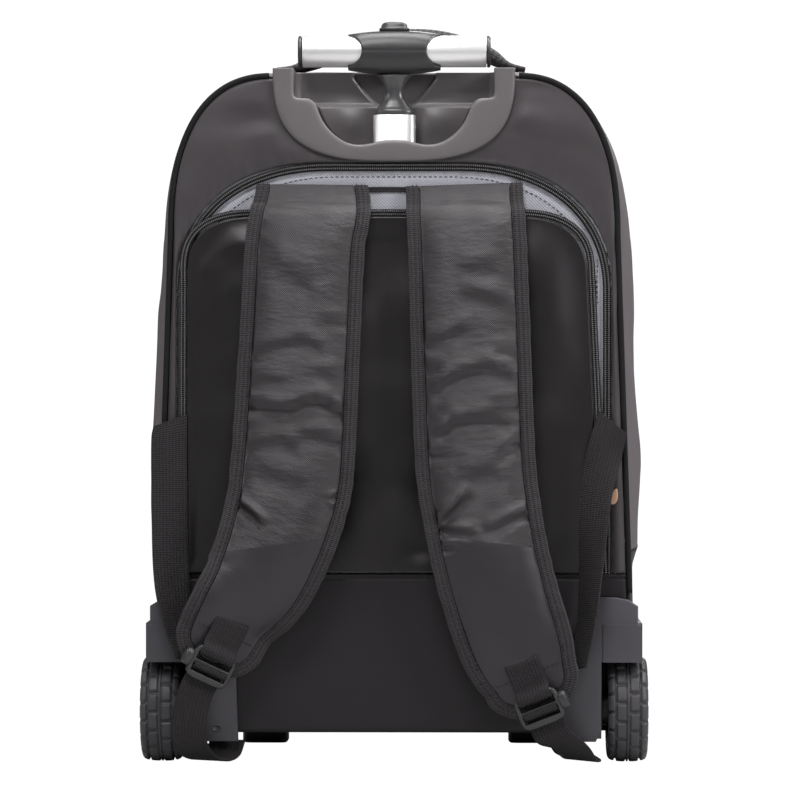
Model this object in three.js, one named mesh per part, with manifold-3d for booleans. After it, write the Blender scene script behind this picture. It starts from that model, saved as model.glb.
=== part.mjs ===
// Wheeled backpack: a soft bag with shoulder straps, a single-post trolley handle and two corner wheels.
// Millimetres, +Z up. The strap side faces -Y, and +X is to the right seen from that side.
import * as THREE from 'three';
import { mergeVertices } from 'three/addons/utils/BufferGeometryUtils.js';
import Module from 'manifold-3d';

const wasm = await Module();
wasm.setup();

// Fits
const gap = 0.35;
const slideFit = 0.3;

// Bag body
const bagBottom = 22;
const bagTop = 479;
const bagDepth = 190;
const halfWidthTop = 155.5;
const halfWidthBottom = 166;
const topCornerWide = 72;
const topCornerTall = 111;
const topCornerPower = 2.4;
const bottomCornerRadius = 28;
const sideSeamHeight = 149;
const backSeamHeight = 133;
const sideBulge = 14.4;
const frontBulge = 13;
const clothWall = 2;
const bootWall = 2.5;
const pipingRadius = 2;
const panelPuff = 1.2;
const panelSteps = 36;

// Strap pocket on the back: an arch-shaped zip, a grey lining and a loose flap
const archHalfWidth = halfWidthTop - 7.5;
const archTop = 415.4;
const archCornerWide = 105;
const archCornerTall = 88;
const archPower = 2.25;
const zipWidth = 5.6;
const zipThickness = 2.4;
const liningWall = 1.5;
const flapHalfWidth = archHalfWidth - 9;
const flapTop = 380.5;
const flapCornerWide = 52;
const flapCornerTall = 42;
const flapPower = 2.6;
const flapLean = -5.5;
const flapWall = 2;
const flapZipWidth = 5;
const pullerHeight = 196;
const pullerLength = 12;
const pullerWidth = 5.4;
const pullerThickness = 1.6;

// Shoulder straps
const strapTop = 399;
const strapDrop = 333;
const strapSpread = halfWidthBottom;
const strapWidth = 84;
const strapThickness = 15;
const strapStandOff = 31;
const strapEndRound = 17;
const strapSteps = 24;
const bindingWidth = 9.5;
const bindingThickness = 4.6;
const foldDepth = 2.2;
const webWidth = 25;
const webThickness = 1.5;
const webStandOff = 30;
const buckleWidth = 32;
const buckleHeight = 24;
const buckleThickness = 4.5;
const buckleRail = 3;
const buckleSlot = 5.4;
const anchorLength = 17;

// Handle cup in the top edge
const cupHalfWidth = 84.3;
const cupBottom = 419;
const cupArmTop = 484;
const cupPower = 2.9;
const cupFlange = 3.4;
const cupDepth = 38;
const cupWall = 2.5;
const notchHalfWidth = 69.6;
const notchFloor = 463;
const bowlHalfWidth = 57.5;
const bowlPower = 2.3;
const lipHalfWidth = 22;
const lipHeight = 4;

// Trolley
const trolleyY = 18;
const postWidth = 29.5;
const postDepth = 17;
const tubeWall = 1.8;
const postWall = 1.8;
const handleTravelUp = 310;
const postStayIn = 60;
const gripAboveBag = 18;
const gripHeight = bagTop + gripAboveBag;
const gripRadius = 11;
const gripLength = 134.5;
const gripCapThickness = 2.6;
const hubHalfLength = 32.3;
const hubRise = 16.2;
const hubTipRadius = 12;
const hubDepth = 13.6;
const hubCore = 13.5;
const neckLength = 27.65;
const neckTop = gripHeight - hubRise - gap;
const neckBottom = neckTop - neckLength;
const buttonWidth = 20;
const buttonDepth = 12;
const buttonProud = 4.8;
const buttonTravel = 3;

// Carrying handle on the top
const grabHalfSpan = 84;
const grabRise = 24;
const grabWidth = 34;
const grabThickness = 13;
const grabY = 66;

// Wheels
const wheelRadius = 37;
const wheelY = 27;
const wheelX = 162.6;
const tyreWidth = 28;
const rimRadius = 24;
const axleRadius = 4;
const wheelClearance = 3;
const housingTop = 116.5;
const housingPlate = 6;
const fenderOuter = wheelX + tyreWidth * 0.35;
const housingOuter = fenderOuter - 3;
const fenderTop = 98.5;
const fenderUnderside = 71.5;
const fenderStep = 0.8;
const wellInner = wheelX - tyreWidth / 2 - 4.6;
const podInner = wellInner - housingPlate;
const podDepth = wheelY + wheelRadius + wheelClearance + 2.5;
const legInner = 108;
const legBottom = 16.4;
const footX = 98;
const footWidth = 34;
const footDepth = 22;

const degrees = Math.PI / 180;

// Materials
function finish(color, roughness, metalness = 0) {
  return new THREE.MeshStandardMaterial({ color, roughness, metalness });
}
const nylon = finish(0x4a464a, 0.75);
const sideNylon = finish(0x857d82, 0.8);
const smoothPanel = finish(0x2d2b2e, 0.6);
const greyLining = finish(0x8c8b92, 0.85);
const zipBlack = finish(0x1f1e20, 0.7);
const bindingCloth = finish(0x3c3a3c, 0.9);
const padNylon = finish(0x413d41, 0.6);
const webbing = finish(0x353335, 0.9);
const meshCloth = finish(0x262527, 0.95);
const cupPlastic = finish(0x6c686c, 0.6);
const blackPlastic = finish(0x2a292b, 0.45);
const housingPlastic = finish(0x55525a, 0.6);
const tyreRubber = finish(0x444247, 0.7);
const bareAluminium = finish(0xe6e4e4, 0.35, 0.9);
const steel = finish(0x9a9a9c, 0.4, 0.9);
const tanLeather = finish(0xc09a80, 0.8);

const backpack = new THREE.Group();

function add(name, geometry, material, place = {}) {
  const mesh = new THREE.Mesh(geometry, material);
  mesh.name = name;
  if (place.position) mesh.position.set(...place.position);
  if (place.rotation) mesh.rotation.set(...place.rotation);
  backpack.add(mesh);
  return mesh;
}

// Shares from 0 to 1 in equal steps, both ends included.
function shares(count) {
  return Array.from({ length: count + 1 }, (_, i) => i / count);
}

function lerp(a, b, share) {
  return a + (b - a) * share;
}

// Value of one column of a table at a place between its rows.
function tableValue(rows, along, place, column) {
  const next = rows.findIndex((row) => row[along] >= place);
  if (next === 0) return rows[0][column];
  if (next < 0) return rows[rows.length - 1][column];
  const low = rows[next - 1];
  const high = rows[next];
  return lerp(low[column], high[column], (place - low[along]) / (high[along] - low[along]));
}

function signedVolume(geometry) {
  const p = geometry.attributes.position;
  const order = geometry.index;
  const [a, b, c] = [new THREE.Vector3(), new THREE.Vector3(), new THREE.Vector3()];
  let total = 0;
  for (let i = 0; i < order.count; i += 3) {
    a.fromBufferAttribute(p, order.getX(i));
    b.fromBufferAttribute(p, order.getX(i + 1));
    c.fromBufferAttribute(p, order.getX(i + 2));
    total += a.dot(b.cross(c)) / 6;
  }
  return total;
}

// Positions alone, with shared corners merged.
function bare(geometry) {
  const copy = geometry.clone();
  for (const name of Object.keys(copy.attributes)) {
    if (name !== 'position') copy.deleteAttribute(name);
  }
  return mergeVertices(copy, 1e-4);
}

function flipped(geometry) {
  const order = geometry.index.array;
  for (let i = 0; i < order.length; i += 3) {
    [order[i + 1], order[i + 2]] = [order[i + 2], order[i + 1]];
  }
  return geometry;
}

function facingOut(geometry) {
  const merged = bare(geometry);
  return signedVolume(merged) < 0 ? flipped(merged) : merged;
}

function toSolid(geometry) {
  const merged = facingOut(geometry);
  const mesh = new wasm.Mesh({
    numProp: 3,
    vertProperties: new Float32Array(merged.attributes.position.array),
    triVerts: new Uint32Array(merged.index.array),
  });
  return new wasm.Manifold(mesh);
}

function toGeometry(solid) {
  const mesh = solid.getMesh();
  const geometry = new THREE.BufferGeometry();
  geometry.setAttribute('position', new THREE.BufferAttribute(mesh.vertProperties, 3));
  geometry.setIndex(new THREE.BufferAttribute(mesh.triVerts, 1));
  return geometry;
}

function joined(...geometries) {
  return toGeometry(geometries.map(toSolid).reduce((all, one) => all.add(one)));
}

function cut(geometry, ...cutters) {
  return toGeometry(cutters.map(toSolid).reduce((left, one) => left.subtract(one), toSolid(geometry)));
}

function mirrored(geometry) {
  const copy = bare(geometry);
  copy.scale(-1, 1, 1);
  return flipped(copy);
}

// Geometry for the +X side, or its mirror for the -X side.
function onSide(geometry, side) {
  return side > 0 ? geometry : mirrored(geometry);
}

function box(low, high) {
  const size = high.map((value, i) => value - low[i]);
  const geometry = new THREE.BoxGeometry(...size);
  return geometry.translate(...low.map((value, i) => value + size[i] / 2));
}

// Triangles that close a flat ring, wound as the ring is.
function capOf(ring) {
  const centre = ring.reduce((sum, p) => sum.add(p), new THREE.Vector3()).divideScalar(ring.length);
  const normal = new THREE.Vector3();
  ring.forEach((p, i) => {
    const next = ring[(i + 1) % ring.length];
    normal.add(p.clone().sub(centre).cross(next.clone().sub(centre)));
  });
  normal.normalize();
  const u = ring[0].clone().sub(centre).normalize();
  const v = normal.clone().cross(u);
  const flat = ring.map((p) => {
    const offset = p.clone().sub(centre);
    return new THREE.Vector2(offset.dot(u), offset.dot(v));
  });
  return THREE.ShapeUtils.triangulateShape(flat, []).map(([a, b, c]) => {
    const turn = flat[b].clone().sub(flat[a]).cross(flat[c].clone().sub(flat[a]));
    return turn < 0 ? [a, c, b] : [a, b, c];
  });
}

// Solid through rings of equally many points. A loop of rings has no ends.
function loft(rings, isLoop = false) {
  const count = rings[0].length;
  const index = [];
  const spans = isLoop ? rings.length : rings.length - 1;
  for (let i = 0; i < spans; i += 1) {
    const here = i * count;
    const there = ((i + 1) % rings.length) * count;
    for (let j = 0; j < count; j += 1) {
      const k = (j + 1) % count;
      index.push(here + j, here + k, there + k, here + j, there + k, there + j);
    }
  }
  if (!isLoop) {
    const end = (rings.length - 1) * count;
    for (const [a, b, c] of capOf(rings[0])) index.push(a, c, b);
    for (const [a, b, c] of capOf(rings[rings.length - 1])) index.push(end + a, end + b, end + c);
  }
  const geometry = new THREE.BufferGeometry();
  const positions = rings.flat().flatMap((p) => [p.x, p.y, p.z]);
  geometry.setAttribute('position', new THREE.Float32BufferAttribute(positions, 3));
  geometry.setIndex(index);
  return facingOut(geometry);
}

// Outline points {x, z} made a slab between two depths, with an optional rounded edge.
function slab(outline, yFront, yBack, holes = [], bevel = 0) {
  const shape = new THREE.Shape(outline.map((p) => new THREE.Vector2(p.x, p.z)));
  for (const hole of holes) shape.holes.push(new THREE.Path(hole.map((p) => new THREE.Vector2(p.x, p.z))));
  const geometry = new THREE.ExtrudeGeometry(shape, {
    depth: yBack - yFront - 2 * bevel,
    bevelEnabled: bevel > 0,
    bevelThickness: bevel,
    bevelSize: bevel,
    bevelOffset: -bevel,
    bevelSegments: 2,
  });
  geometry.rotateX(90 * degrees);
  return facingOut(geometry.translate(0, yBack - bevel, 0));
}

// Solid of revolution round local Y from a closed profile of [radius, along] rows.
function turned(profile, segments) {
  const points = [...profile, profile[0]].map(([r, along]) => new THREE.Vector2(r, along));
  return facingOut(new THREE.LatheGeometry(points, segments));
}

function rod(radius, length, segments) {
  return facingOut(new THREE.CylinderGeometry(radius, radius, length, segments));
}

// Ring of points round a centre, in the plane of two directions.
function ringAt(centre, across, out, section) {
  return section.map(([a, b]) => centre.clone().addScaledVector(across, a).addScaledVector(out, b));
}

// Flattened round section: width by thickness, squarer with a higher power.
function roundSection(width, thickness, count, power = 2) {
  return Array.from({ length: count }, (_, i) => {
    const angle = ((i + 0.5) / count) * 2 * Math.PI;
    const c = Math.cos(angle);
    const s = Math.sin(angle);
    return [
      (width / 2) * Math.sign(c) * Math.abs(c) ** (2 / power),
      (thickness / 2) * Math.sign(s) * Math.abs(s) ** (2 / power),
    ];
  });
}

function rectSection(width, thickness) {
  return [
    [-width / 2, -thickness / 2],
    [width / 2, -thickness / 2],
    [width / 2, thickness / 2],
    [-width / 2, thickness / 2],
  ];
}

// Quarter of a superellipse from its side point up to its top point.
function quarter(centreX, centreZ, wide, tall, power, count) {
  return shares(count).map((share) => {
    const angle = share * 90 * degrees;
    return {
      x: centreX + wide * Math.cos(angle) ** (2 / power),
      z: centreZ + tall * Math.sin(angle) ** (2 / power),
    };
  });
}

// Body outline, seen from the strap side

const bodyHeight = bagTop - bagBottom;
const topCornerStart = bagTop - topCornerTall;
const bottomCornerTop = bagBottom + bottomCornerRadius;

function halfWidthAt(z) {
  const share = (z - bottomCornerTop) / (topCornerStart - bottomCornerTop);
  return lerp(halfWidthBottom, halfWidthTop, THREE.MathUtils.clamp(share, 0, 1));
}

// Right half, from the middle of the bottom to the middle of the top.
function halfOutline() {
  const bottomStraight = halfWidthBottom - bottomCornerRadius;
  const bottom = shares(3).map((s) => ({ x: bottomStraight * s, z: bagBottom }));
  const corner = quarter(bottomStraight, 0, bottomCornerRadius, bottomCornerRadius, 2, 4)
    .reverse()
    .map((p) => ({ x: p.x, z: bottomCornerTop - p.z }));
  const lowSide = shares(2).map((s) => lerp(bottomCornerTop, sideSeamHeight - gap / 2, s));
  const highSide = shares(6).map((s) => lerp(sideSeamHeight + gap / 2, topCornerStart, s));
  const side = [...lowSide, ...highSide].map((z) => ({ x: halfWidthAt(z), z }));
  const topCentre = halfWidthTop - topCornerWide;
  const top = quarter(topCentre, topCornerStart, topCornerWide, topCornerTall, topCornerPower, 8);
  const topFlat = shares(3).map((s) => ({ x: topCentre * (1 - s), z: bagTop }));
  const all = [...bottom, ...corner, ...side, ...top, ...topFlat];
  return all.filter((p, i) => i === 0 || Math.hypot(p.x - all[i - 1].x, p.z - all[i - 1].z) > 0.01);
}

function withNormals(points) {
  return points.map((p, i) => {
    const before = points[(i + points.length - 1) % points.length];
    const after = points[(i + 1) % points.length];
    const length = Math.hypot(after.x - before.x, after.z - before.z);
    return { ...p, nx: (after.z - before.z) / length, nz: -(after.x - before.x) / length };
  });
}

const rightHalf = halfOutline();
const leftHalf = rightHalf
  .slice(1, -1)
  .reverse()
  .map((p) => ({ x: -p.x, z: p.z }));
const bodyOutline = withNormals([...rightHalf, ...leftHalf]);

function outlineInset(distance) {
  return bodyOutline.map((p) => ({ x: p.x - p.nx * distance, z: p.z - p.nz * distance }));
}

// Shares of the side bulge at shares of the body's height.
const bulgeRows = [
  { height: 0, bulge: 0 },
  { height: 0.06, bulge: 0.28 },
  { height: 0.25, bulge: 0.42 },
  { height: 0.278, bulge: 0.76 },
  { height: 0.4, bulge: 1 },
  { height: 0.6, bulge: 0.88 },
  { height: 0.75, bulge: 0.82 },
  { height: 0.86, bulge: 0.62 },
  { height: 1, bulge: 0.5 },
];

function bulgeAt(z, depthShare) {
  const rise = sideBulge * tableValue(bulgeRows, 'height', (z - bagBottom) / bodyHeight, 'bulge');
  return rise * Math.sin(Math.PI * depthShare) ** 0.7;
}

// Depth at which the bands start behind the back face's piping
const bootEdge = pipingRadius / 2 + pipingRadius + gap;

// Band between the two pipings along a run of outline points.
function band(points, wall, depthSteps) {
  const yFront = bagDepth - bootEdge;
  const rings = points.map((p) => {
    const surface = (depth, inset) => {
      const offset = bulgeAt(p.z, depth) - inset;
      return new THREE.Vector3(p.x + p.nx * offset, lerp(bootEdge, yFront, depth), p.z + p.nz * offset);
    };
    const outer = shares(depthSteps).map((depth) => surface(depth, 0));
    const inner = shares(depthSteps).reverse().map((depth) => surface(depth, wall));
    return [...outer, ...inner];
  });
  return loft(rings);
}

// Handle cup outlines

function cupOutline(grow) {
  const tall = cupArmTop - cupBottom;
  const half = quarter(0, 0, cupHalfWidth + grow, tall + grow, cupPower, 12);
  const right = half.map((p) => ({ x: p.x, z: cupArmTop - p.z }));
  const left = right.slice(0, -1).reverse().map((p) => ({ x: -p.x, z: p.z }));
  return [...right, ...left];
}

const stowDrop = gripHeight - gripRadius - notchFloor - slideFit;
const bowlFloor = neckBottom - stowDrop - slideFit;

function cavityOutline(grow, top) {
  const floor = notchFloor - grow;
  const bowl = quarter(0, 0, bowlHalfWidth + grow, notchFloor - bowlFloor, bowlPower, 8);
  const right = [
    { x: notchHalfWidth + grow, z: top },
    { x: notchHalfWidth + grow, z: floor },
    ...bowl.map((p) => ({ x: p.x, z: floor - p.z })),
  ];
  const left = right.slice(0, -1).reverse().map((p) => ({ x: -p.x, z: p.z }));
  return [...right, ...left];
}

const cupBack = cupDepth + cupWall;
const aboveBag = cupArmTop + 60;

function cupBox(grow, top) {
  return slab(cavityOutline(cupWall + grow, top), 0, cupBack + grow);
}

function buildCup() {
  const flange = slab(cupOutline(0), -cupFlange - gap, -gap, [], 1.2);
  const pocket = slab(cavityOutline(cupWall, cupArmTop), -gap - 0.5, cupBack);
  const cavity = slab(cavityOutline(0, aboveBag), -cupFlange * 3, cupDepth);
  const lip = box([-lipHalfWidth, -cupFlange - gap, bowlFloor - 1], [lipHalfWidth, 2, bowlFloor + lipHeight]);
  const hole = box(
    [-postWidth / 2 - slideFit, trolleyY - postDepth / 2 - slideFit, bowlFloor - cupWall * 4],
    [postWidth / 2 + slideFit, trolleyY + postDepth / 2 + slideFit, bowlFloor + 1],
  );
  const open = cut(joined(flange, pocket), cavity);
  return cut(joined(open, lip), hole);
}

// Wheel housing, built for the +X side

// Inner edge of the housing plate from its top to the foot of the leg, in shares of the plate.
const plateEdgeRows = [
  { down: 0, inward: 0.45 },
  { down: 0.22, inward: 0.62 },
  { down: 0.38, inward: 0.84 },
  { down: 0.5, inward: 0.97 },
  { down: 1, inward: 1 },
];

function plateOutline(grow) {
  const wide = housingOuter - legInner;
  const tall = housingTop - legBottom;
  const inner = plateEdgeRows.map((row) => ({
    x: housingOuter - wide * row.inward - grow,
    z: housingTop - tall * row.down + (row.down === 0 ? grow : 0) - (row.down === 1 ? grow : 0),
  }));
  const shoulder = wide * 0.25;
  return [
    { x: housingOuter - shoulder, z: housingTop + grow },
    ...inner,
    { x: wellInner - 4, z: legBottom - grow },
    { x: wellInner + grow, z: legBottom + 8 - grow },
    { x: wellInner + grow, z: fenderUnderside },
    { x: housingOuter + grow, z: fenderUnderside },
    { x: housingOuter + grow, z: housingTop - 6 + grow },
    { x: housingOuter - shoulder * 0.45 + grow, z: housingTop - 1.8 + grow },
  ];
}

function acrossRod(radius, fromX, toX, y, z, segments) {
  return rod(radius, toX - fromX, segments).rotateZ(90 * degrees).translate((fromX + toX) / 2, y, z);
}

// Block in the bag's corner round one wheel, before the wheel's room is cut from it.
function podBlock(grow, yFront, bottom) {
  return box([podInner - grow, yFront, bottom], [fenderOuter + grow, podDepth + grow, fenderTop + grow]);
}

function buildHousing() {
  const plate = slab(plateOutline(0), -housingPlate - gap, -gap, [], 1);
  const fender = box(
    [wellInner + 1, -housingPlate - gap - fenderStep, fenderUnderside],
    [fenderOuter - fenderStep, wheelY, fenderTop - fenderStep],
  );
  const pod = podBlock(0, -gap - housingPlate / 2, legBottom + 2);
  const wellRadius = wheelRadius + wheelClearance;
  const beyond = fenderOuter + 20;
  const roundWell = acrossRod(wellRadius, wellInner, beyond, wheelY, wheelRadius, 28);
  const openWell = box([wellInner, -60, -10], [beyond, wheelY, fenderUnderside]);
  const lowWell = box([wellInner, wheelY - 1, -10], [beyond, wheelY + wellRadius - 8, wheelRadius]);
  const bore = acrossRod(axleRadius + gap, podInner - 5, wellInner + 5, wheelY, wheelRadius, 16);
  return cut(joined(plate, fender, pod), roundWell, openWell, lowWell, bore);
}

// What the soft walls leave free for the housing on one side.
function housingRoom(side) {
  return onSide(podBlock(gap, -gap, -gap), side);
}

const pipingY = pipingRadius / 2;

function pipingLoop(y) {
  const section = roundSection(pipingRadius * 2, pipingRadius * 2, 4);
  const depth = new THREE.Vector3(0, 1, 0);
  const rings = bodyOutline.map((p) =>
    ringAt(new THREE.Vector3(p.x, y, p.z), new THREE.Vector3(p.nx, 0, p.nz), depth, section),
  );
  return loft(rings, true);
}

// Right half of the back piping, from the wheel housing up to the handle cup.
function backPipingHalf() {
  const beyond = halfWidthBottom * 2;
  const otherSide = box([-beyond, -20, -20], [cupHalfWidth + gap, 20, bagTop + 50]);
  const low = box([-beyond, -20, -20], [beyond, 20, housingTop + gap]);
  return cut(pipingLoop(pipingY), otherSide, low);
}

// Strap pocket

function archOutline(grow, bottom) {
  const halfWidth = archHalfWidth + grow;
  const corner = quarter(
    halfWidth - archCornerWide,
    archTop + grow - archCornerTall,
    archCornerWide,
    archCornerTall,
    archPower,
    9,
  );
  const right = [{ x: halfWidth, z: bottom }, ...corner];
  const left = [...right].reverse().map((p) => ({ x: -p.x, z: p.z }));
  return [...right, ...left];
}

function flapOutline(grow) {
  const bottom = backSeamHeight + 2 * gap;
  const tall = flapTop - bottom;
  const centreX = (z) => flapLean * ((z - bottom) / tall);
  const corner = quarter(
    flapHalfWidth + grow - flapCornerWide,
    flapTop + grow - flapCornerTall,
    flapCornerWide,
    flapCornerTall,
    flapPower,
    7,
  );
  const foot = flapHalfWidth + grow + 4;
  const middle = { x: lerp(foot, corner[0].x, 0.5), z: bottom + tall * 0.5 };
  const right = [{ x: foot, z: bottom }, middle, ...corner];
  const left = [...right].reverse().map((p) => ({ x: -p.x, z: p.z }));
  return [...right, ...left].map((p) => ({ x: p.x + centreX(p.z), z: p.z }));
}

// The same open line with its points at an even distance.
function evenly(points, count) {
  const along = points.map(() => 0);
  for (let i = 1; i < points.length; i += 1) {
    along[i] = along[i - 1] + Math.hypot(points[i].x - points[i - 1].x, points[i].z - points[i - 1].z);
  }
  const rows = points.map((p, i) => ({ ...p, along: along[i] }));
  return shares(count).map((share) => {
    const place = share * along[along.length - 1];
    return { x: tableValue(rows, 'along', place, 'x'), z: tableValue(rows, 'along', place, 'z') };
  });
}

// Upper face of the back: a band from the arch's zip out to the piping. It is padded between them,
// and pressed in under the handle cup.
function buildBackPanel() {
  const low = backSeamHeight + gap / 2;
  const edgeInset = pipingRadius + gap;
  const foot = halfWidthAt(low) - edgeInset;
  const above = outlineInset(edgeInset).filter((p) => p.z > low);
  const outer = evenly([{ x: foot, z: low }, ...above, { x: -foot, z: low }], panelSteps);
  const inner = evenly(archOutline(zipWidth / 2 + 2 * gap, low), panelSteps);
  const rings = outer.map((p, i) => {
    const q = inner[i];
    const underCup = 1 - THREE.MathUtils.smoothstep(Math.abs(p.x), cupHalfWidth, cupHalfWidth * 1.3);
    const bulge = lerp(-panelPuff, panelPuff / 2, underCup);
    const middle = { x: (p.x + q.x) / 2, z: (p.z + q.z) / 2 };
    const front = [[q, 0], [middle, bulge], [p, 0]];
    const back = [...front].reverse().map(([place, y]) => [place, y + clothWall]);
    return [...front, ...back].map(([place, y]) => new THREE.Vector3(place.x, y, place.z));
  });
  return loft(rings);
}

// Flat tape along an open run of points in the plane of the back.
function tape(points, width, y, thickness) {
  const depth = new THREE.Vector3(0, 1, 0);
  const section = rectSection(width, thickness);
  const rings = points.map((p, i) => {
    const before = points[Math.max(i - 1, 0)];
    const after = points[Math.min(i + 1, points.length - 1)];
    const across = new THREE.Vector3(after.z - before.z, 0, before.x - after.x).normalize();
    return ringAt(new THREE.Vector3(p.x, y, p.z), across, depth, section);
  });
  return loft(rings);
}

// Straps. Each row is a section, with its height down the drop, its place across the back and its
// stand-off, width and thickness as shares of the named sizes. Lean and twist are in degrees:
// lean turns the section in the plane of the back, twist brings its outer edge forward.
const leftStrapRows = [
  { down: 0, across: -0.341, off: 0.03, width: 0.92, thick: 0.22, lean: 0, twist: 0 },
  { down: 0.027, across: -0.342, off: 0.19, width: 0.97, thick: 0.48, lean: 0, twist: 0 },
  { down: 0.048, across: -0.346, off: 0.36, width: 0.99, thick: 0.72, lean: -1, twist: 0 },
  { down: 0.1, across: -0.365, off: 0.48, width: 0.99, thick: 0.95, lean: -2, twist: 0 },
  { down: 0.335, across: -0.391, off: 0.68, width: 1, thick: 1, lean: -3, twist: 0 },
  { down: 0.594, across: -0.422, off: 0.84, width: 1.02, thick: 1, lean: -5, twist: 0 },
  { down: 0.656, across: -0.443, off: 0.9, width: 1, thick: 1, lean: -12, twist: 0 },
  { down: 0.739, across: -0.494, off: 0.98, width: 0.96, thick: 1, lean: -20, twist: 4 },
  { down: 0.817, across: -0.565, off: 1, width: 0.92, thick: 0.95, lean: -29, twist: 12 },
  { down: 0.888, across: -0.669, off: 1.02, width: 0.84, thick: 0.76, lean: -36, twist: 25 },
  { down: 0.93, across: -0.712, off: 1.02, width: 0.78, thick: 0.45, lean: -26, twist: 20 },
];
const rightStrapRows = [
  { down: 0, across: 0.295, off: 0.03, width: 0.97, thick: 0.22, lean: 0, twist: 0 },
  { down: 0.027, across: 0.298, off: 0.19, width: 0.97, thick: 0.48, lean: 0, twist: 0 },
  { down: 0.048, across: 0.3, off: 0.36, width: 0.98, thick: 0.72, lean: 0, twist: 0 },
  { down: 0.1, across: 0.306, off: 0.48, width: 0.98, thick: 0.95, lean: 1, twist: 0 },
  { down: 0.335, across: 0.322, off: 0.68, width: 0.99, thick: 1, lean: 2, twist: 0 },
  { down: 0.594, across: 0.345, off: 0.84, width: 0.99, thick: 1, lean: 5, twist: 0 },
  { down: 0.656, across: 0.363, off: 0.9, width: 0.98, thick: 1, lean: 8, twist: 0 },
  { down: 0.748, across: 0.395, off: 0.98, width: 0.97, thick: 1, lean: 12, twist: 0 },
  { down: 0.846, across: 0.445, off: 1, width: 0.96, thick: 0.95, lean: 17, twist: 4 },
  { down: 0.929, across: 0.499, off: 1.02, width: 0.95, thick: 0.85, lean: 21, twist: 8 },
  { down: 0.975, across: 0.534, off: 1.02, width: 0.91, thick: 0.7, lean: 25, twist: 10 },
  { down: 1.015, across: 0.568, off: 1, width: 0.82, thick: 0.45, lean: 30, twist: 13 },
];

// Creases across the padding: place along the strap, side of the pad that they start from,
// slope in shares of the width and depth in shares of the fold depth.
const creaseRows = [
  { along: 0.3, side: -0.5, slope: 0.1, depth: 0.5 },
  { along: 0.37, side: 0.4, slope: -0.2, depth: 0.7 },
  { along: 0.44, side: -0.4, slope: 0.3, depth: 0.9 },
  { along: 0.5, side: 0.5, slope: -0.3, depth: 1 },
  { along: 0.56, side: -0.5, slope: 0.2, depth: 0.8 },
  { along: 0.63, side: 0.3, slope: -0.4, depth: 1 },
  { along: 0.69, side: -0.3, slope: 0.3, depth: 0.7 },
];

function creaseDepth(along, across) {
  const creaseWidth = 0.03;
  return creaseRows.reduce((sum, row) => {
    const offset = (along - row.along - row.slope * 0.06 * (across - row.side)) / creaseWidth;
    const reach = Math.exp(-(((across - row.side) / 1.1) ** 2));
    return sum + foldDepth * row.depth * reach * Math.exp(-offset * offset);
  }, 0);
}

function strapFrames(rows, steps) {
  const centreLine = new THREE.CatmullRomCurve3(
    rows.map((row) => new THREE.Vector3(
      row.across * strapSpread,
      -row.off * strapStandOff,
      strapTop - row.down * strapDrop,
    )),
  );
  const sizeLine = new THREE.CatmullRomCurve3(
    rows.map((row) => new THREE.Vector3(row.width * strapWidth, row.thick * strapThickness, 0)),
  );
  const turnLine = new THREE.CatmullRomCurve3(rows.map((row) => new THREE.Vector3(row.lean, row.twist, 0)));
  const side = Math.sign(rows[0].across);
  return shares(steps).map((share) => {
    const size = sizeLine.getPoint(share);
    const turn = turnLine.getPoint(share);
    const along = centreLine.getTangent(share);
    const across = new THREE.Vector3(1, 0, 0).applyAxisAngle(new THREE.Vector3(0, -1, 0), turn.x * degrees);
    across.addScaledVector(along, -across.dot(along)).normalize();
    across.applyAxisAngle(along, side * turn.y * degrees);
    const out = across.clone().cross(along).normalize();
    if (out.y > 0) out.negate();
    return { share, centre: centreLine.getPoint(share), along, across, out, width: size.x, thick: size.y };
  });
}

// Sections past the last row that round off the strap's end.
function endFrames(last, turns) {
  return turns.map((turn) => ({
    ...last,
    centre: last.centre.clone().addScaledVector(last.along, strapEndRound * Math.sin(turn * degrees)),
    narrowing: Math.cos(turn * degrees),
  }));
}

// Cushion section: thin edges, full middle, creased on the outer face.
function padSection(frame, inset) {
  const half = (frame.width / 2 - inset) * (frame.narrowing ?? 1);
  const edge = Math.min(bindingThickness, frame.thick) * 0.42;
  const outline = [-1, -0.82, -0.45, 0, 0.45, 0.82, 1];
  const outer = outline.map((a) => {
    const crown = (frame.thick / 2 - edge) * (1 - Math.abs(a) ** 3);
    const crease = frame.narrowing ? 0 : creaseDepth(frame.share, a) * Math.min(1, crown / foldDepth);
    return [a * half, edge + crown - crease];
  });
  const inner = outline.filter((a) => Math.abs(a) !== 0.45).reverse().map((a) => {
    const crown = (frame.thick / 2 - edge) * (1 - Math.abs(a) ** 3);
    return [a * half, -edge - crown];
  });
  return [...outer, ...inner];
}

function buildPad(rows) {
  const frames = strapFrames(rows, strapSteps);
  const end = endFrames(frames[frames.length - 1], [25, 45, 62]);
  const inset = bindingWidth + gap;
  return loft([...frames, ...end].map((f) => ringAt(f.centre, f.across, f.out, padSection(f, inset))));
}

function buildBinding(rows) {
  const frames = strapFrames(rows, strapSteps);
  const last = frames[frames.length - 1];
  const inset = bindingWidth / 2;
  const rings = [];
  const place = (frame, sideways, downward) => {
    const centre = frame.centre.clone();
    centre.addScaledVector(frame.across, sideways * (frame.width / 2 - inset));
    centre.addScaledVector(frame.along, downward * (strapEndRound + inset));
    const outward = frame.across.clone().multiplyScalar(sideways);
    outward.addScaledVector(frame.along, downward).normalize();
    const thickness = Math.min(bindingThickness, frame.thick + 0.6);
    rings.push(ringAt(centre, outward, frame.out, rectSection(bindingWidth, thickness)));
  };
  for (const frame of frames) place(frame, -1, 0);
  for (const turn of [25, 45, 62, 78, 90, 102, 118, 135, 155]) {
    place(last, -Math.cos(turn * degrees), Math.sin(turn * degrees));
  }
  for (const frame of [...frames].reverse()) place(frame, 1, 0);
  return loft(rings);
}

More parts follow.
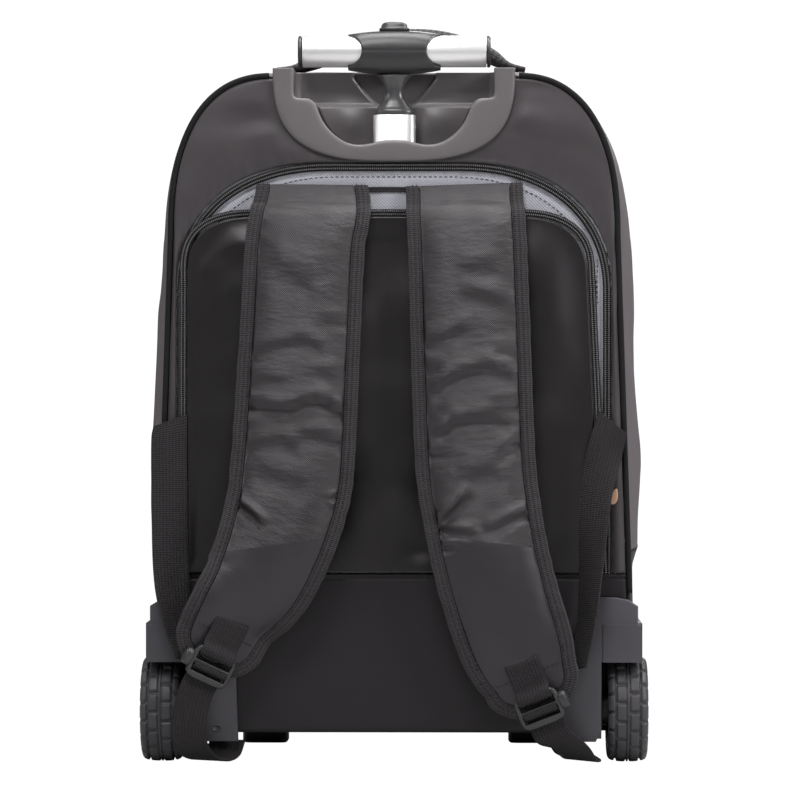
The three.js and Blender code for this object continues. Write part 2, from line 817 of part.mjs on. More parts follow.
const buckleLift = bindingThickness / 2 + webThickness + 2 * gap + 0.6;
const buckleDrop = strapEndRound * 1.15;
const anchorRise = 1.7;

function buildBuckle() {
  const outline = roundSection(buckleWidth, buckleHeight, 16, 5).map(([x, z]) => ({ x, z }));
  const plate = slab(outline, -buckleThickness / 2, buckleThickness / 2, [], 1);
  const inside = buckleWidth / 2 - buckleRail;
  const topSlot = box([-inside, -5, 1.2], [inside, 5, 1.2 + buckleSlot]);
  const lowSlot = box([-inside, -5, -2 - buckleSlot], [inside, 5, -2]);
  return cut(plate, topSlot, lowSlot);
}

// Adjuster webbing: each row is a bend, with its place across the back, its stand-off and its height
// as shares of the named sizes, and the lean of its width and its turn from flat in degrees.
const leftWebRows = [
  { across: -0.935, off: 0.155, height: 0.6, lean: 20, turn: 0 },
  { across: -0.94, off: 0.17, height: 0.575, lean: 8, turn: 0 },
  { across: -0.938, off: 0.22, height: 0.46, lean: 0, turn: 0 },
  { across: -0.93, off: 0.32, height: 0.34, lean: 0, turn: 10 },
  { across: -0.9, off: 0.62, height: 0.24, lean: -4, turn: 50 },
  { across: -0.845, off: 0.78, height: 0.185, lean: -12, turn: 40 },
];
const leftLoopRows = [
  { across: -0.85, off: 0.94, height: 0.06, lean: -10, turn: 0 },
  { across: -0.815, off: 0.66, height: 0.021, lean: -3, turn: 0 },
  { across: -0.76, off: 0.4, height: 0.011, lean: -3, turn: 0 },
  { across: -0.72, off: 0.06, height: 0.018, lean: -3, turn: 0 },
  { across: -0.7, off: -0.24, height: 0.04, lean: 0, turn: 0 },
];
const rightWebRows = [
  { across: 0.915, off: 0.155, height: 0.597, lean: -40, turn: 0 },
  { across: 0.895, off: 0.17, height: 0.55, lean: -26, turn: 0 },
  { across: 0.853, off: 0.2, height: 0.47, lean: -6, turn: 0 },
  { across: 0.832, off: 0.34, height: 0.34, lean: 0, turn: -30 },
  { across: 0.8, off: 0.64, height: 0.24, lean: 4, turn: -62 },
  { across: 0.755, off: 0.84, height: 0.17, lean: 20, turn: -50 },
];
const rightLoopRows = [
  { across: 0.735, off: 0.86, height: 0.036, lean: 2, turn: 0 },
  { across: 0.775, off: 0.5, height: 0.014, lean: -6, turn: 0 },
  { across: 0.79, off: 0.16, height: 0.012, lean: -4, turn: 0 },
  { across: 0.745, off: -0.16, height: 0.022, lean: 0, turn: 0 },
  { across: 0.72, off: -0.34, height: 0.04, lean: 0, turn: 0 },
];

// How the lower webbing threads the buckle: over its middle bar, through the low slot and behind its
// low rail, in shares of the buckle's height and of the webbing's stand-off.
const threadRows = [
  { down: 0, out: 1.02 },
  { down: 0.13, out: 0.98 },
  { down: 0.196, out: 0 },
  { down: 0.263, out: -1 },
  { down: 0.4, out: -1.09 },
  { down: 0.86, out: -1.09 },
];

function buildWeb(rows, steps, threaded = []) {
  const bends = rows.map((row) => new THREE.Vector3(
    row.across * strapSpread,
    -row.off * webStandOff,
    row.height * strapTop,
  ));
  const line = new THREE.CatmullRomCurve3([...threaded.map((place) => place.point), ...bends]);
  const leaning = rows.map((row) => {
    const lean = row.lean * degrees;
    const turn = row.turn * degrees;
    return new THREE.Vector3(Math.cos(lean) * Math.cos(turn), Math.sin(turn), Math.sin(lean) * Math.cos(turn));
  });
  const widths = new THREE.CatmullRomCurve3([...threaded.map((place) => place.across), ...leaning]);
  const rings = shares(steps).map((share) => {
    const along = line.getTangent(share);
    const across = widths.getPoint(share).normalize();
    const out = across.clone().cross(along).normalize();
    return ringAt(line.getPoint(share), across, out, rectSection(webWidth, webThickness));
  });
  return loft(rings);
}

// Front face: a dome over the outline, with an even wall.
function buildFrontPanel() {
  const edge = outlineInset(pipingRadius + gap);
  const centreZ = (bagTop + bagBottom) / 2;
  const rise = [1, 0.86, 0.5];
  const surface = (share, depth) => edge.map((p) => {
    const swell = frontBulge * (1 - share ** 3);
    return new THREE.Vector3(p.x * share, bagDepth - depth + swell, centreZ + (p.z - centreZ) * share);
  });
  const outer = [...rise].reverse().map((share) => surface(share, 0));
  const inner = rise.map((share) => surface(share, clothWall));
  return loft([...outer, ...inner]);
}

// Neck of the handle: shares of the post's width and depth at shares of the neck's height.
const neckRows = [
  { up: 0, width: 0.96, depth: 0.95 },
  { up: 0.12, width: 0.92, depth: 0.92 },
  { up: 0.35, width: 0.64, depth: 0.74 },
  { up: 0.6, width: 0.45, depth: 0.66 },
  { up: 0.85, width: 0.62, depth: 0.8 },
  { up: 1, width: 0.82, depth: 0.95 },
];

function buildNeck() {
  const rings = neckRows.map((row) => {
    const centre = new THREE.Vector3(0, trolleyY, lerp(neckBottom, neckTop, row.up));
    const section = roundSection(postWidth * row.width, postDepth * row.depth, 14, 2.6);
    return ringAt(centre, new THREE.Vector3(1, 0, 0), new THREE.Vector3(0, 1, 0), section);
  });
  return loft(rings);
}

// Hub section heights at shares of its half length.
const hubRows = [
  { along: 0, rise: 1 },
  { along: 0.35, rise: 0.96 },
  { along: 0.7, rise: 0.85 },
  { along: 1, rise: 0.72 },
];

function buildHub() {
  const all = [...hubRows].reverse().map((row) => ({ ...row, along: -row.along })).concat(hubRows.slice(1));
  const rings = all.map((row) => {
    const tall = Math.max(hubRise * row.rise, hubTipRadius);
    const centre = new THREE.Vector3(hubHalfLength * row.along, trolleyY, gripHeight);
    const section = roundSection(hubDepth * 2 * lerp(0.88, 1, row.rise), tall * 2, 14, 2.2);
    return ringAt(centre, new THREE.Vector3(0, 1, 0), new THREE.Vector3(0, 0, 1), section);
  });
  const bore = gripRadius + gap;
  const cutters = [-1, 1].flatMap((side) => {
    const seat = rod(bore, hubHalfLength, 20).rotateZ(90 * degrees);
    seat.translate(side * (hubCore + hubHalfLength / 2), trolleyY, gripHeight);
    const mouth = rod(1, hubDepth * 4, 16).scale(hubHalfLength * 0.34, 1, gripRadius - 0.6);
    mouth.translate(side * (hubHalfLength + 1), trolleyY, gripHeight);
    return [seat, mouth];
  });
  const pocket = box(
    [-buttonWidth / 2 - slideFit, trolleyY - buttonDepth / 2 - slideFit, gripHeight + 4],
    [buttonWidth / 2 + slideFit, trolleyY + buttonDepth / 2 + slideFit, gripHeight + hubRise * 2],
  );
  return cut(loft(rings), ...cutters, pocket);
}

function buildButton() {
  const top = hubRise + buttonProud;
  const floor = 4 + slideFit + buttonTravel;
  const outline = roundSection(buttonWidth, top - floor, 12, 4).map(([x, z]) => ({ x, z }));
  const block = slab(outline, -buttonDepth / 2, buttonDepth / 2, [], 0.8);
  return block.translate(0, trolleyY, gripHeight + (top + floor) / 2);
}

// Carrying handle: rise and thickness as shares of the named sizes, at shares of its half span.
const grabRows = [
  { along: 1, rise: 0, thick: 0.26, width: 1 },
  { along: 0.86, rise: 0.05, thick: 0.5, width: 1 },
  { along: 0.7, rise: 0.3, thick: 0.85, width: 0.98 },
  { along: 0.5, rise: 0.66, thick: 1, width: 0.95 },
  { along: 0.26, rise: 0.92, thick: 1, width: 0.92 },
  { along: 0, rise: 1, thick: 1, width: 0.92 },
];

function buildGrabHandle() {
  const depthShare = grabY / bagDepth;
  const leftRows = grabRows.map((row) => ({ ...row, along: -row.along }));
  const all = [...leftRows, ...[...grabRows].reverse().slice(1)];
  const points = all.map((row) => {
    const floor = bagTop + bulgeAt(bagTop, depthShare) + 2 * gap;
    const z = floor + (grabThickness * row.thick) / 2 + grabRise * row.rise * 0.72;
    return new THREE.Vector3(row.along * grabHalfSpan, grabY, z);
  });
  const line = new THREE.CatmullRomCurve3(points);
  const rings = all.map((row, i) => {
    const along = line.getTangent(i / (all.length - 1));
    const depth = new THREE.Vector3(0, 1, 0);
    const out = along.clone().cross(depth).normalize();
    const section = roundSection(grabWidth * row.width, grabThickness * row.thick, 10, 3);
    return ringAt(points[i], depth, out, section);
  });
  return loft(rings);
}

// Wheel profiles: [radius, along the axle], outwards from the bag
const tyreHalf = tyreWidth / 2;
const tyreProfile = [
  [rimRadius, -0.86 * tyreHalf],
  [0.82 * wheelRadius, -tyreHalf],
  [0.93 * wheelRadius, -0.94 * tyreHalf],
  [0.985 * wheelRadius, -0.64 * tyreHalf],
  [wheelRadius, -0.06 * tyreHalf],
  [wheelRadius, 0.06 * tyreHalf],
  [0.985 * wheelRadius, 0.64 * tyreHalf],
  [0.93 * wheelRadius, 0.94 * tyreHalf],
  [0.82 * wheelRadius, tyreHalf],
  [rimRadius, 0.86 * tyreHalf],
];
const hubRadius = 11.5;
const rimOuter = rimRadius - gap;
const boreRadius = axleRadius + gap;
const bossReach = wheelX - wellInner - gap;
const rimProfile = [
  [boreRadius, -bossReach],
  [hubRadius, -bossReach],
  [hubRadius, -0.3 * tyreHalf],
  [rimOuter - 3, -0.3 * tyreHalf],
  [rimOuter - 3, -0.82 * tyreHalf],
  [rimOuter, -0.82 * tyreHalf],
  [rimOuter, 0.82 * tyreHalf],
  [rimOuter - 3, 0.82 * tyreHalf],
  [rimOuter - 3, 0.3 * tyreHalf],
  [hubRadius, 0.3 * tyreHalf],
  [hubRadius, 0.7 * tyreHalf],
  [boreRadius, 0.7 * tyreHalf],
];

function buildAxle() {
  const inner = -(wheelX - podInner);
  const headStart = 0.7 * tyreHalf + gap;
  return turned(
    [
      [0, inner],
      [axleRadius, inner],
      [axleRadius, headStart],
      [axleRadius + 3, headStart],
      [axleRadius + 3, headStart + 2.4],
      [0, headStart + 2.4],
    ],
    12,
  );
}

function buildFoot() {
  const height = bagBottom - gap;
  const outline = roundSection(footWidth, footDepth, 12, 5).map(([x, z]) => ({ x, z }));
  const block = slab(outline, -height / 2, height / 2, [], 2);
  return block.rotateX(-90 * degrees).translate(0, 0, height / 2);
}

// Assembly

const housingRooms = [housingRoom(-1), housingRoom(1)];

const gussetRun = bodyOutline.filter((p) => p.z > sideSeamHeight);
const fromTop = [...bodyOutline.slice(rightHalf.length), ...bodyOutline.slice(0, rightHalf.length)];
const bootRun = fromTop.filter((p) => p.z < sideSeamHeight);

add('gusset', cut(band(gussetRun, clothWall, 5), cupBox(gap, aboveBag)), sideNylon);
add('bottom_boot', cut(band(bootRun, bootWall, 5), ...housingRooms), nylon);
add('front_panel', buildFrontPanel(), nylon);
add('back_piping_left', onSide(backPipingHalf(), -1), zipBlack);
add('back_piping_right', backPipingHalf(), zipBlack);
add('front_piping', pipingLoop(bagDepth - pipingY), zipBlack);

add('back_panel', cut(buildBackPanel(), cupBox(gap, aboveBag)), nylon);
const wholePanel = slab(outlineInset(pipingRadius + gap), 0, clothWall);
const beyondBag = halfWidthBottom * 2;
const upperHalf = box([-beyondBag, -5, backSeamHeight - gap / 2], [beyondBag, 5, bagTop + 50]);
const hemEdge = podInner - 2 * gap;
const hem = box([-hemEdge, 0, bagBottom], [hemEdge, bootEdge - gap, bagBottom + bootWall * 2]);
add('lower_back_panel', cut(joined(cut(wholePanel, upperHalf), hem), ...housingRooms), smoothPanel);

const liningFront = clothWall + gap;
const liningGrow = zipWidth / 2 + 3;
const liningBottom = backSeamHeight - 6;
const lining = slab(archOutline(liningGrow, liningBottom), liningFront, liningFront + liningWall);
add('pocket_lining', cut(lining, cupBox(gap, aboveBag)), greyLining);
add('back_zip', tape(archOutline(0, backSeamHeight + gap), zipWidth, 0.6, zipThickness), zipBlack);

const flapBack = -1.1;
const flapCentre = flapBack - flapWall / 2;
add('strap_flap', slab(flapOutline(0), flapBack - flapWall, flapBack), nylon);
add('flap_zip', tape(flapOutline(flapZipWidth / 2 + gap), flapZipWidth, flapCentre, zipThickness), zipBlack);

const pullerShape = roundSection(pullerWidth, pullerLength, 10, 2).map(([x, z]) => ({ x, z }));
add('zip_puller', slab(pullerShape, -pullerThickness, 0, [], 0.3), tanLeather, {
  position: [archHalfWidth + 1, 0.6 - zipThickness / 2 - gap, pullerHeight],
});

add('handle_cup', buildCup(), cupPlastic);
add('grab_handle', buildGrabHandle(), meshCloth);

// Trolley
const tubeTop = bowlFloor - cupWall - gap;
const tubeBottom = bagBottom + bootWall + gap;
const tubeHalfWidth = postWidth / 2 + slideFit + tubeWall;
const tubeHalfDepth = postDepth / 2 + slideFit + tubeWall;
const tubeOuter = box(
  [-tubeHalfWidth, trolleyY - tubeHalfDepth, tubeBottom],
  [tubeHalfWidth, trolleyY + tubeHalfDepth, tubeTop],
);
const tubeInner = box(
  [-postWidth / 2 - slideFit, trolleyY - postDepth / 2 - slideFit, tubeBottom + 2],
  [postWidth / 2 + slideFit, trolleyY + postDepth / 2 + slideFit, tubeTop + 5],
);
add('trolley_tube', cut(tubeOuter, tubeInner), bareAluminium);

const postTop = neckBottom - gap;
const postLength = postTop - (tubeTop - handleTravelUp - postStayIn);

function postBar(shrink, bottom, top) {
  const outline = roundSection(postWidth - 2 * shrink, postDepth - 2 * shrink, 16, 5);
  return slab(outline.map(([x, z]) => ({ x, z })), bottom, top).rotateX(90 * degrees);
}
const post = cut(postBar(0, 0, postLength), postBar(postWall, -5, postLength - 2 * postWall));
add('trolley_post', post, bareAluminium, { position: [0, trolleyY, postTop - postLength] });
add('handle_neck', buildNeck(), blackPlastic);
add('handle_hub', buildHub(), blackPlastic);
add('release_button', buildButton(), blackPlastic);
for (const [name, side] of [['left', -1], ['right', 1]]) {
  const start = hubCore + gap;
  const end = gripLength / 2 - gripCapThickness - gap;
  const rotation = [0, 0, 90 * degrees];
  add(`grip_tube_${name}`, rod(gripRadius, end - start, 18), bareAluminium, {
    position: [(side * (start + end)) / 2, trolleyY, gripHeight],
    rotation,
  });
  add(`grip_cap_${name}`, rod(gripRadius + 0.2, gripCapThickness, 18), blackPlastic, {
    position: [side * (end + gap + gripCapThickness / 2), trolleyY, gripHeight],
    rotation,
  });
}

// Rolling gear
const housing = buildHousing();
for (const [name, side] of [['left', -1], ['right', 1]]) {
  const place = { position: [side * wheelX, wheelY, wheelRadius], rotation: [0, 0, -side * 90 * degrees] };
  add(`wheel_housing_${name}`, onSide(housing, side), housingPlastic);
  add(`tyre_${name}`, turned(tyreProfile, 24), tyreRubber, place);
  add(`wheel_rim_${name}`, turned(rimProfile, 16), blackPlastic, place);
  add(`axle_${name}`, buildAxle(), steel, place);
  add(`front_foot_${name}`, buildFoot(), blackPlastic, {
    position: [side * footX, bagDepth - footDepth / 2 - bottomCornerRadius / 8, 0],
  });
}

// Straps
const strapSets = [
  { name: 'left', rows: leftStrapRows, web: leftWebRows, loop: leftLoopRows },
  { name: 'right', rows: rightStrapRows, web: rightWebRows, loop: rightLoopRows },
];
for (const { name, rows, web, loop } of strapSets) {
  add(`strap_pad_${name}`, buildPad(rows), padNylon);
  add(`strap_binding_${name}`, buildBinding(rows), bindingCloth);
  const end = strapFrames(rows, strapSteps).pop();
  const buckle = buildBuckle().applyMatrix4(
    new THREE.Matrix4().makeBasis(
      end.across,
      end.out.clone().negate(),
      end.along.clone().negate(),
    ),
  );
  const buckleCentre = end.centre.clone().addScaledVector(end.along, buckleDrop);
  buckleCentre.addScaledVector(end.out, buckleLift + buckleThickness / 2);
  add(`ladder_buckle_${name}`, facingOut(buckle), blackPlastic, { position: buckleCentre.toArray() });
  const webOff = buckleThickness / 2 + gap + webThickness / 2;
  const threaded = threadRows.map((row) => ({
    point: buckleCentre.clone()
      .addScaledVector(end.along, row.down * buckleHeight)
      .addScaledVector(end.out, row.out * webOff),
    across: end.across,
  }));
  const anchorTop = end.centre.clone().addScaledVector(end.along, -anchorLength * 0.7);
  anchorTop.addScaledVector(end.out, buckleLift + anchorRise);
  const anchorEnd = buckleCentre.clone().addScaledVector(end.along, -buckleHeight / 2 - gap);
  const section = rectSection(webWidth, webThickness);
  const anchor = loft([anchorTop, anchorEnd].map((p) => ringAt(p, end.across, end.out, section)));
  add(`anchor_web_${name}`, anchor, webbing);
  add(`adjuster_web_${name}`, buildWeb(web, 12), webbing);
  add(`adjuster_loop_${name}`, buildWeb(loop, 20, threaded), webbing);
}

// The frame's origin is the middle of the bounding box's bottom.
const whole = new THREE.Box3().setFromObject(backpack, true);
const middle = whole.getCenter(new THREE.Vector3());
for (const mesh of backpack.children) mesh.position.sub(new THREE.Vector3(middle.x, middle.y, whole.min.z));

export default backpack;
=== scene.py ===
import math

import bpy
import numpy as np
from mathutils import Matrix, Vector


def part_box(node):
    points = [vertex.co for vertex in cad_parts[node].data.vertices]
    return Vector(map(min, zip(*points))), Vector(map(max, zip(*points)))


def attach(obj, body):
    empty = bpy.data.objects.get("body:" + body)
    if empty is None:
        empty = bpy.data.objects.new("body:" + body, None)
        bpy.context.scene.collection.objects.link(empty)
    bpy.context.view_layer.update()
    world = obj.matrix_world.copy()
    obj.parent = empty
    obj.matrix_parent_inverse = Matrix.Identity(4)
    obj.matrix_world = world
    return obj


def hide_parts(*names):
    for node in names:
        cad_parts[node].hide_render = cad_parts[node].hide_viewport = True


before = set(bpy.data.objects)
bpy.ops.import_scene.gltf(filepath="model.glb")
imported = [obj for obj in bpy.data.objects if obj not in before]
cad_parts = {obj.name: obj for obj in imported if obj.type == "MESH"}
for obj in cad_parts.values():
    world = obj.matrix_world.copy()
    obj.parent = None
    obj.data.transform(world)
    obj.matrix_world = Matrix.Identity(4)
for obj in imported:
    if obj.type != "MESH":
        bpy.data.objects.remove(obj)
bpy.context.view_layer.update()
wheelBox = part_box("tyre_right")
backY = (wheelBox[0].y + wheelBox[1].y) / 2 - 0.027  # the plane of the bag's back, which faces the camera
scene = bpy.context.scene
print("frame loaded:", len(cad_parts), "nodes")


# Camera, floor and light

photoView = {"distance": 2.7, "turn": 1.0, "eyeHeight": 0.259, "aimX": 0.0042, "aimZ": 0.2534,
             "pixelSize": 0.000695, "pixels": 800, "sensor": 36}


def makeCamera(view):
    lens = bpy.data.cameras.new("camera")
    lens.sensor_width = view["sensor"]
    lens.lens = view["sensor"] * view["distance"] / (view["pixelSize"] * view["pixels"])
    lens.clip_end = 40
    camera = bpy.data.objects.new("camera", lens)
    turn = math.radians(view["turn"])
    aim = Vector((view["aimX"], backY, view["aimZ"]))
    camera.location = aim + Vector((math.sin(turn), -math.cos(turn), 0)) * view["distance"]
    camera.location.z = view["eyeHeight"]
    camera.rotation_euler = (aim - camera.location).to_track_quat("-Z", "Y").to_euler()
    scene.collection.objects.link(camera)
    scene.camera = camera


studio = {
    "floorSize": 12, "floorColor": 0.5, "floorWhite": 0.97, "worldStrength": 0.1, "backdrop": 1.06,
    "aimHeight": 0.25,
    "lamps": [  # place in metres, size, power in watts
        {"name": "keyHigh", "place": (-0.2, -1.0, 1.4), "size": 0.55, "power": 12},
        {"name": "cornerLeft", "place": (-1.25, -1.0, 0.9), "size": 0.5, "power": 2.8},
        {"name": "cornerRight", "place": (1.3, -1.0, 0.9), "size": 0.5, "power": 11},
        {"name": "sideLeft", "place": (-1.5, 0.1, 1.3), "size": 0.8, "power": 6},
        {"name": "sideRight", "place": (1.3, 0.0, 1.9), "size": 0.8, "power": 30},
        {"name": "front", "place": (0.1, -2.4, 0.9), "size": 0.9, "power": 1.2},
        {"name": "top", "place": (0, -0.1, 1.5), "size": 0.6, "power": 12},
        {"name": "back", "place": (0.3, 1.5, 1.1), "size": 0.8, "power": 12},
    ],
}


def makeFloor(look):
    half = look["floorSize"] / 2
    mesh = bpy.data.meshes.new("floor")
    corners = [(-half, -half, 0), (half, -half, 0), (half, half, 0), (-half, half, 0)]
    mesh.from_pydata(corners, [], [(0, 1, 2, 3)])
    floor = bpy.data.objects.new("floor", mesh)
    scene.collection.objects.link(floor)
    paper = bpy.data.materials.new("floorPaper")
    paper.use_nodes = True
    shader = paper.node_tree.nodes["Principled BSDF"]
    shader.inputs["Base Color"].default_value = (*[look["floorColor"]] * 3, 1)
    shader.inputs["Roughness"].default_value = 0.9
    shader.inputs["Specular IOR Level"].default_value = 0.1
    nodes = paper.node_tree.nodes
    links = paper.node_tree.links
    white = nodes.new("ShaderNodeEmission")
    white.inputs["Strength"].default_value = look["backdrop"]
    path = nodes.new("ShaderNodeLightPath")
    share = nodes.new("ShaderNodeMath")
    share.operation = "MULTIPLY"
    share.inputs[1].default_value = look["floorWhite"]
    mix = nodes.new("ShaderNodeMixShader")
    links.new(path.outputs["Is Camera Ray"], share.inputs[0])
    links.new(share.outputs[0], mix.inputs["Fac"])
    links.new(shader.outputs[0], mix.inputs[1])
    links.new(white.outputs[0], mix.inputs[2])
    links.new(mix.outputs[0], nodes["Material Output"].inputs["Surface"])
    mesh.materials.append(paper)


def makeWorld(look):
    world = bpy.data.worlds.new("studio")
    world.use_nodes = True
    nodes = world.node_tree.nodes
    links = world.node_tree.links
    soft = nodes["Background"]
    soft.inputs["Color"].default_value = (1, 1, 1, 1)
    soft.inputs["Strength"].default_value = look["worldStrength"]
    white = nodes.new("ShaderNodeBackground")
    white.inputs["Color"].default_value = (1, 1, 1, 1)
    white.inputs["Strength"].default_value = look["backdrop"]
    path = nodes.new("ShaderNodeLightPath")
    mix = nodes.new("ShaderNodeMixShader")
    links.new(path.outputs["Is Camera Ray"], mix.inputs["Fac"])
    links.new(soft.outputs[0], mix.inputs[1])
    links.new(white.outputs[0], mix.inputs[2])
    links.new(mix.outputs[0], nodes["World Output"].inputs["Surface"])
    scene.world = world


def makeLamps(look):
    for lamp in look["lamps"]:
        data = bpy.data.lights.new(lamp["name"], "AREA")
        data.size = lamp["size"]
        data.energy = lamp["power"]
        light = bpy.data.objects.new(lamp["name"], data)
        light.location = lamp["place"]
        light.visible_camera = False
        aim = Vector((0, 0, look["aimHeight"])) - light.location
        light.rotation_euler = aim.to_track_quat("-Z", "Y").to_euler()
        scene.collection.objects.link(light)


makeCamera(photoView)
scene.view_settings.view_transform = "Standard"
makeFloor(studio)
makeWorld(studio)
makeLamps(studio)
print("camera and studio ready")


# Shader maths: a socket that adds Math nodes when it is calculated with

class Wire:
    def __init__(self, tree, socket):
        self.tree = tree
        self.socket = socket

    def worked(self, operation, *values):
        node = self.tree.nodes.new("ShaderNodeMath")
        node.operation = operation
        for place, value in enumerate(values):
            if isinstance(value, Wire):
                self.tree.links.new(value.socket, node.inputs[place])
            else:
                node.inputs[place].default_value = value
        return Wire(self.tree, node.outputs[0])

    def __add__(self, other):
        return self.worked("ADD", self, other)

    def __radd__(self, other):
        return self.worked("ADD", other, self)

    def __sub__(self, other):
        return self.worked("SUBTRACT", self, other)

    def __rsub__(self, other):
        return self.worked("SUBTRACT", other, self)

    def __mul__(self, other):
        return self.worked("MULTIPLY", self, other)

    def __rmul__(self, other):
        return self.worked("MULTIPLY", other, self)

    def __truediv__(self, other):
        return self.worked("DIVIDE", self, other)

    def __pow__(self, other):
        return self.worked("POWER", self, other)

    def wave(self):
        return self.worked("SINE", self)

    def size(self):
        return self.worked("ABSOLUTE", self)

    def least(self, other):
        return self.worked("MINIMUM", self, other)

    def most(self, other):
        return self.worked("MAXIMUM", self, other)

    def remainder(self, other):
        return self.worked("FLOORED_MODULO", self, other)


class Finish:
    def __init__(self, name, roughness, constants=None):
        self.material = bpy.data.materials.new(name)
        self.material.use_nodes = True
        self.tree = self.material.node_tree
        self.shader = self.tree.nodes["Principled BSDF"]
        self.shader.inputs["Roughness"].default_value = roughness
        for socket, value in (constants or {}).items():
            self.shader.inputs[socket].default_value = value

    def node(self, kind, settings, sockets, output=0):
        node = self.tree.nodes.new(kind)
        for name, value in settings.items():
            if name == "stops":
                for stop, (position, shade) in zip(node.color_ramp.elements, value):
                    stop.position = position
                    stop.color = (*shade, 1)
            else:
                setattr(node, name, value)
        for name, value in sockets.items():
            if isinstance(value, Wire):
                self.tree.links.new(value.socket, node.inputs[name])
            else:
                node.inputs[name].default_value = value
        return Wire(self.tree, node.outputs[output])

    def feed(self, socket, wire):
        self.tree.links.new(wire.socket, self.shader.inputs[socket])

    def surface(self):
        return self.node("ShaderNodeTexCoord", {}, {}, "UV")

    def solid(self):
        return self.node("ShaderNodeTexCoord", {}, {}, "Object")

    def parts(self, vector):
        node = self.tree.nodes.new("ShaderNodeSeparateXYZ")
        self.tree.links.new(vector.socket, node.inputs[0])
        return [Wire(self.tree, output) for output in node.outputs]

    def stretched(self, vector, scale):
        return self.node("ShaderNodeMapping", {}, {"Vector": vector, "Scale": scale})

    def mottle(self, vector, scale, detail=2.0, roughness=0.5):
        sockets = {"Vector": vector, "Scale": scale, "Detail": detail, "Roughness": roughness}
        return self.node("ShaderNodeTexNoise", {}, sockets)

    def blendColors(self, share, dark, light):
        sockets = {0: share, 6: (*dark, 1), 7: (*light, 1)}
        return self.node("ShaderNodeMix", {"data_type": "RGBA"}, sockets, 2)

    def mixedColors(self, share, first, second):
        sockets = {0: share, 6: first, 7: second}
        return self.node("ShaderNodeMix", {"data_type": "RGBA"}, sockets, 2)

    def bumps(self, *layers):
        normal = None
        for height, distance, strength in layers:
            sockets = {"Height": height, "Distance": distance, "Strength": strength}
            if normal:
                sockets["Normal"] = normal
            normal = self.node("ShaderNodeBump", {}, sockets)
        self.feed("Normal", normal)


# Materials

warmTint = (1.0, 0.96, 0.99, 1.0)


def tinted(color, factor):
    return tuple(min(1, channel * factor) for channel in color)


def wovenFinish(name, look):
    finish = Finish(name, look["roughness"], {"Sheen Weight": look["sheen"], "Sheen Roughness": 0.4,
                                              "Specular IOR Level": look["gloss"], "Specular Tint": warmTint})
    vector = finish.surface()
    u, v, _ = finish.parts(vector)
    turn = 2 * math.pi / look["pitch"]
    weave = (u * turn).wave() * (v * turn).wave() * 0.5 + 0.5
    cloud = finish.mottle(vector, look["cloudScale"], 4, 0.6)
    fibre = finish.mottle(vector, 1400, 2, 0.7)
    share = weave * look["weaveShare"] + cloud * 0.5 + fibre * 0.2
    finish.feed("Base Color", finish.blendColors(share, tinted(look["color"], 0.72),
                                                 tinted(look["color"], 1.28)))
    finish.feed("Roughness", cloud * 0.16 + (look["roughness"] - 0.08))
    finish.bumps((cloud, 0.0006, 0.25), (weave, look["pitch"] * 0.3, look["relief"]))
    return finish.material


def padFinish(name, look):
    # The same weave, which changes to a smooth, darker cloth lower down the strap.
    finish = Finish(name, look["roughness"], {"Specular IOR Level": look["gloss"], "Specular Tint": warmTint})
    vector = finish.surface()
    u, v, _ = finish.parts(vector)
    x, _, z = finish.parts(finish.solid())
    smooth = z.worked("LESS_THAN", z + x.size() * 0.13, look["changeAt"])
    turn = 2 * math.pi / look["pitch"]
    weave = (u * turn).wave() * (v * turn).wave() * 0.5 + 0.5
    cloud = finish.mottle(vector, look["cloudScale"], 4, 0.6)
    fibre = finish.mottle(vector, 1400, 2, 0.7)
    rough = 1 - smooth * 0.8
    share = (weave * look["weaveShare"] + fibre * 0.25) * rough + cloud * 0.5
    upper = finish.blendColors(share, tinted(look["color"], 0.6), tinted(look["color"], 1.4))
    lower = finish.blendColors(share, tinted(look["lowColor"], 0.85), tinted(look["lowColor"], 1.15))
    finish.feed("Base Color", finish.mixedColors(smooth, upper, lower))
    finish.feed("Roughness", cloud * 0.16 + smooth * 0.14 + (look["roughness"] - 0.08))
    wrinkle = finish.mottle(finish.stretched(vector, (1, 2.2, 1)), 75, 4, 0.55)
    finish.bumps((wrinkle * rough, 0.0024, 0.4), (weave * rough, look["pitch"] * 0.35, look["relief"]))
    return finish.material


def ribbedFinish(name, look):
    finish = Finish(name, look["roughness"], {"Specular IOR Level": 0.18})
    vector = finish.surface()
    u, v, _ = finish.parts(vector)
    ribs = (v * (2 * math.pi / look["ribPitch"])).wave() * 0.5 + 0.5
    columns = (u * (2 * math.pi / look["columnPitch"])).wave() * 0.5 + 0.5
    fuzz = finish.mottle(vector, 1100, 3, 0.7)
    cloud = finish.mottle(vector, 45, 3, 0.6)
    height = ribs * 0.6 + columns * 0.4 + fuzz * 0.35
    share = ribs * columns * 0.55 + fuzz * 0.25 + cloud * 0.3
    finish.feed("Base Color", finish.blendColors(share, tinted(look["color"], 0.5),
                                                 tinted(look["color"], 1.7)))
    finish.feed("Roughness", fuzz * 0.15 + (look["roughness"] - 0.05))
    finish.bumps((height, look["ribPitch"] * 0.5, look["relief"]))
    return finish.material


def mouldedFinish(name, look):
    finish = Finish(name, look["roughness"], {"Specular IOR Level": look["gloss"]})
    vector = finish.solid()
    grain = finish.mottle(vector, 1500, 3, 0.6)
    cloud = finish.mottle(vector, 22, 4, 0.6)
    scuff = finish.mottle(finish.stretched(vector, (1, 1, 0.25)), 160, 5, 0.7)
    share = cloud * 0.6 + grain * 0.2 + scuff * 0.2
    finish.feed("Base Color", finish.blendColors(share, tinted(look["color"], 0.85),
                                                 tinted(look["color"], 1.15)))
    finish.feed("Roughness", cloud * 0.12 + scuff * 0.1 + (look["roughness"] - 0.1))
    finish.bumps((grain, 0.0002, look["grain"]))
    return finish.material


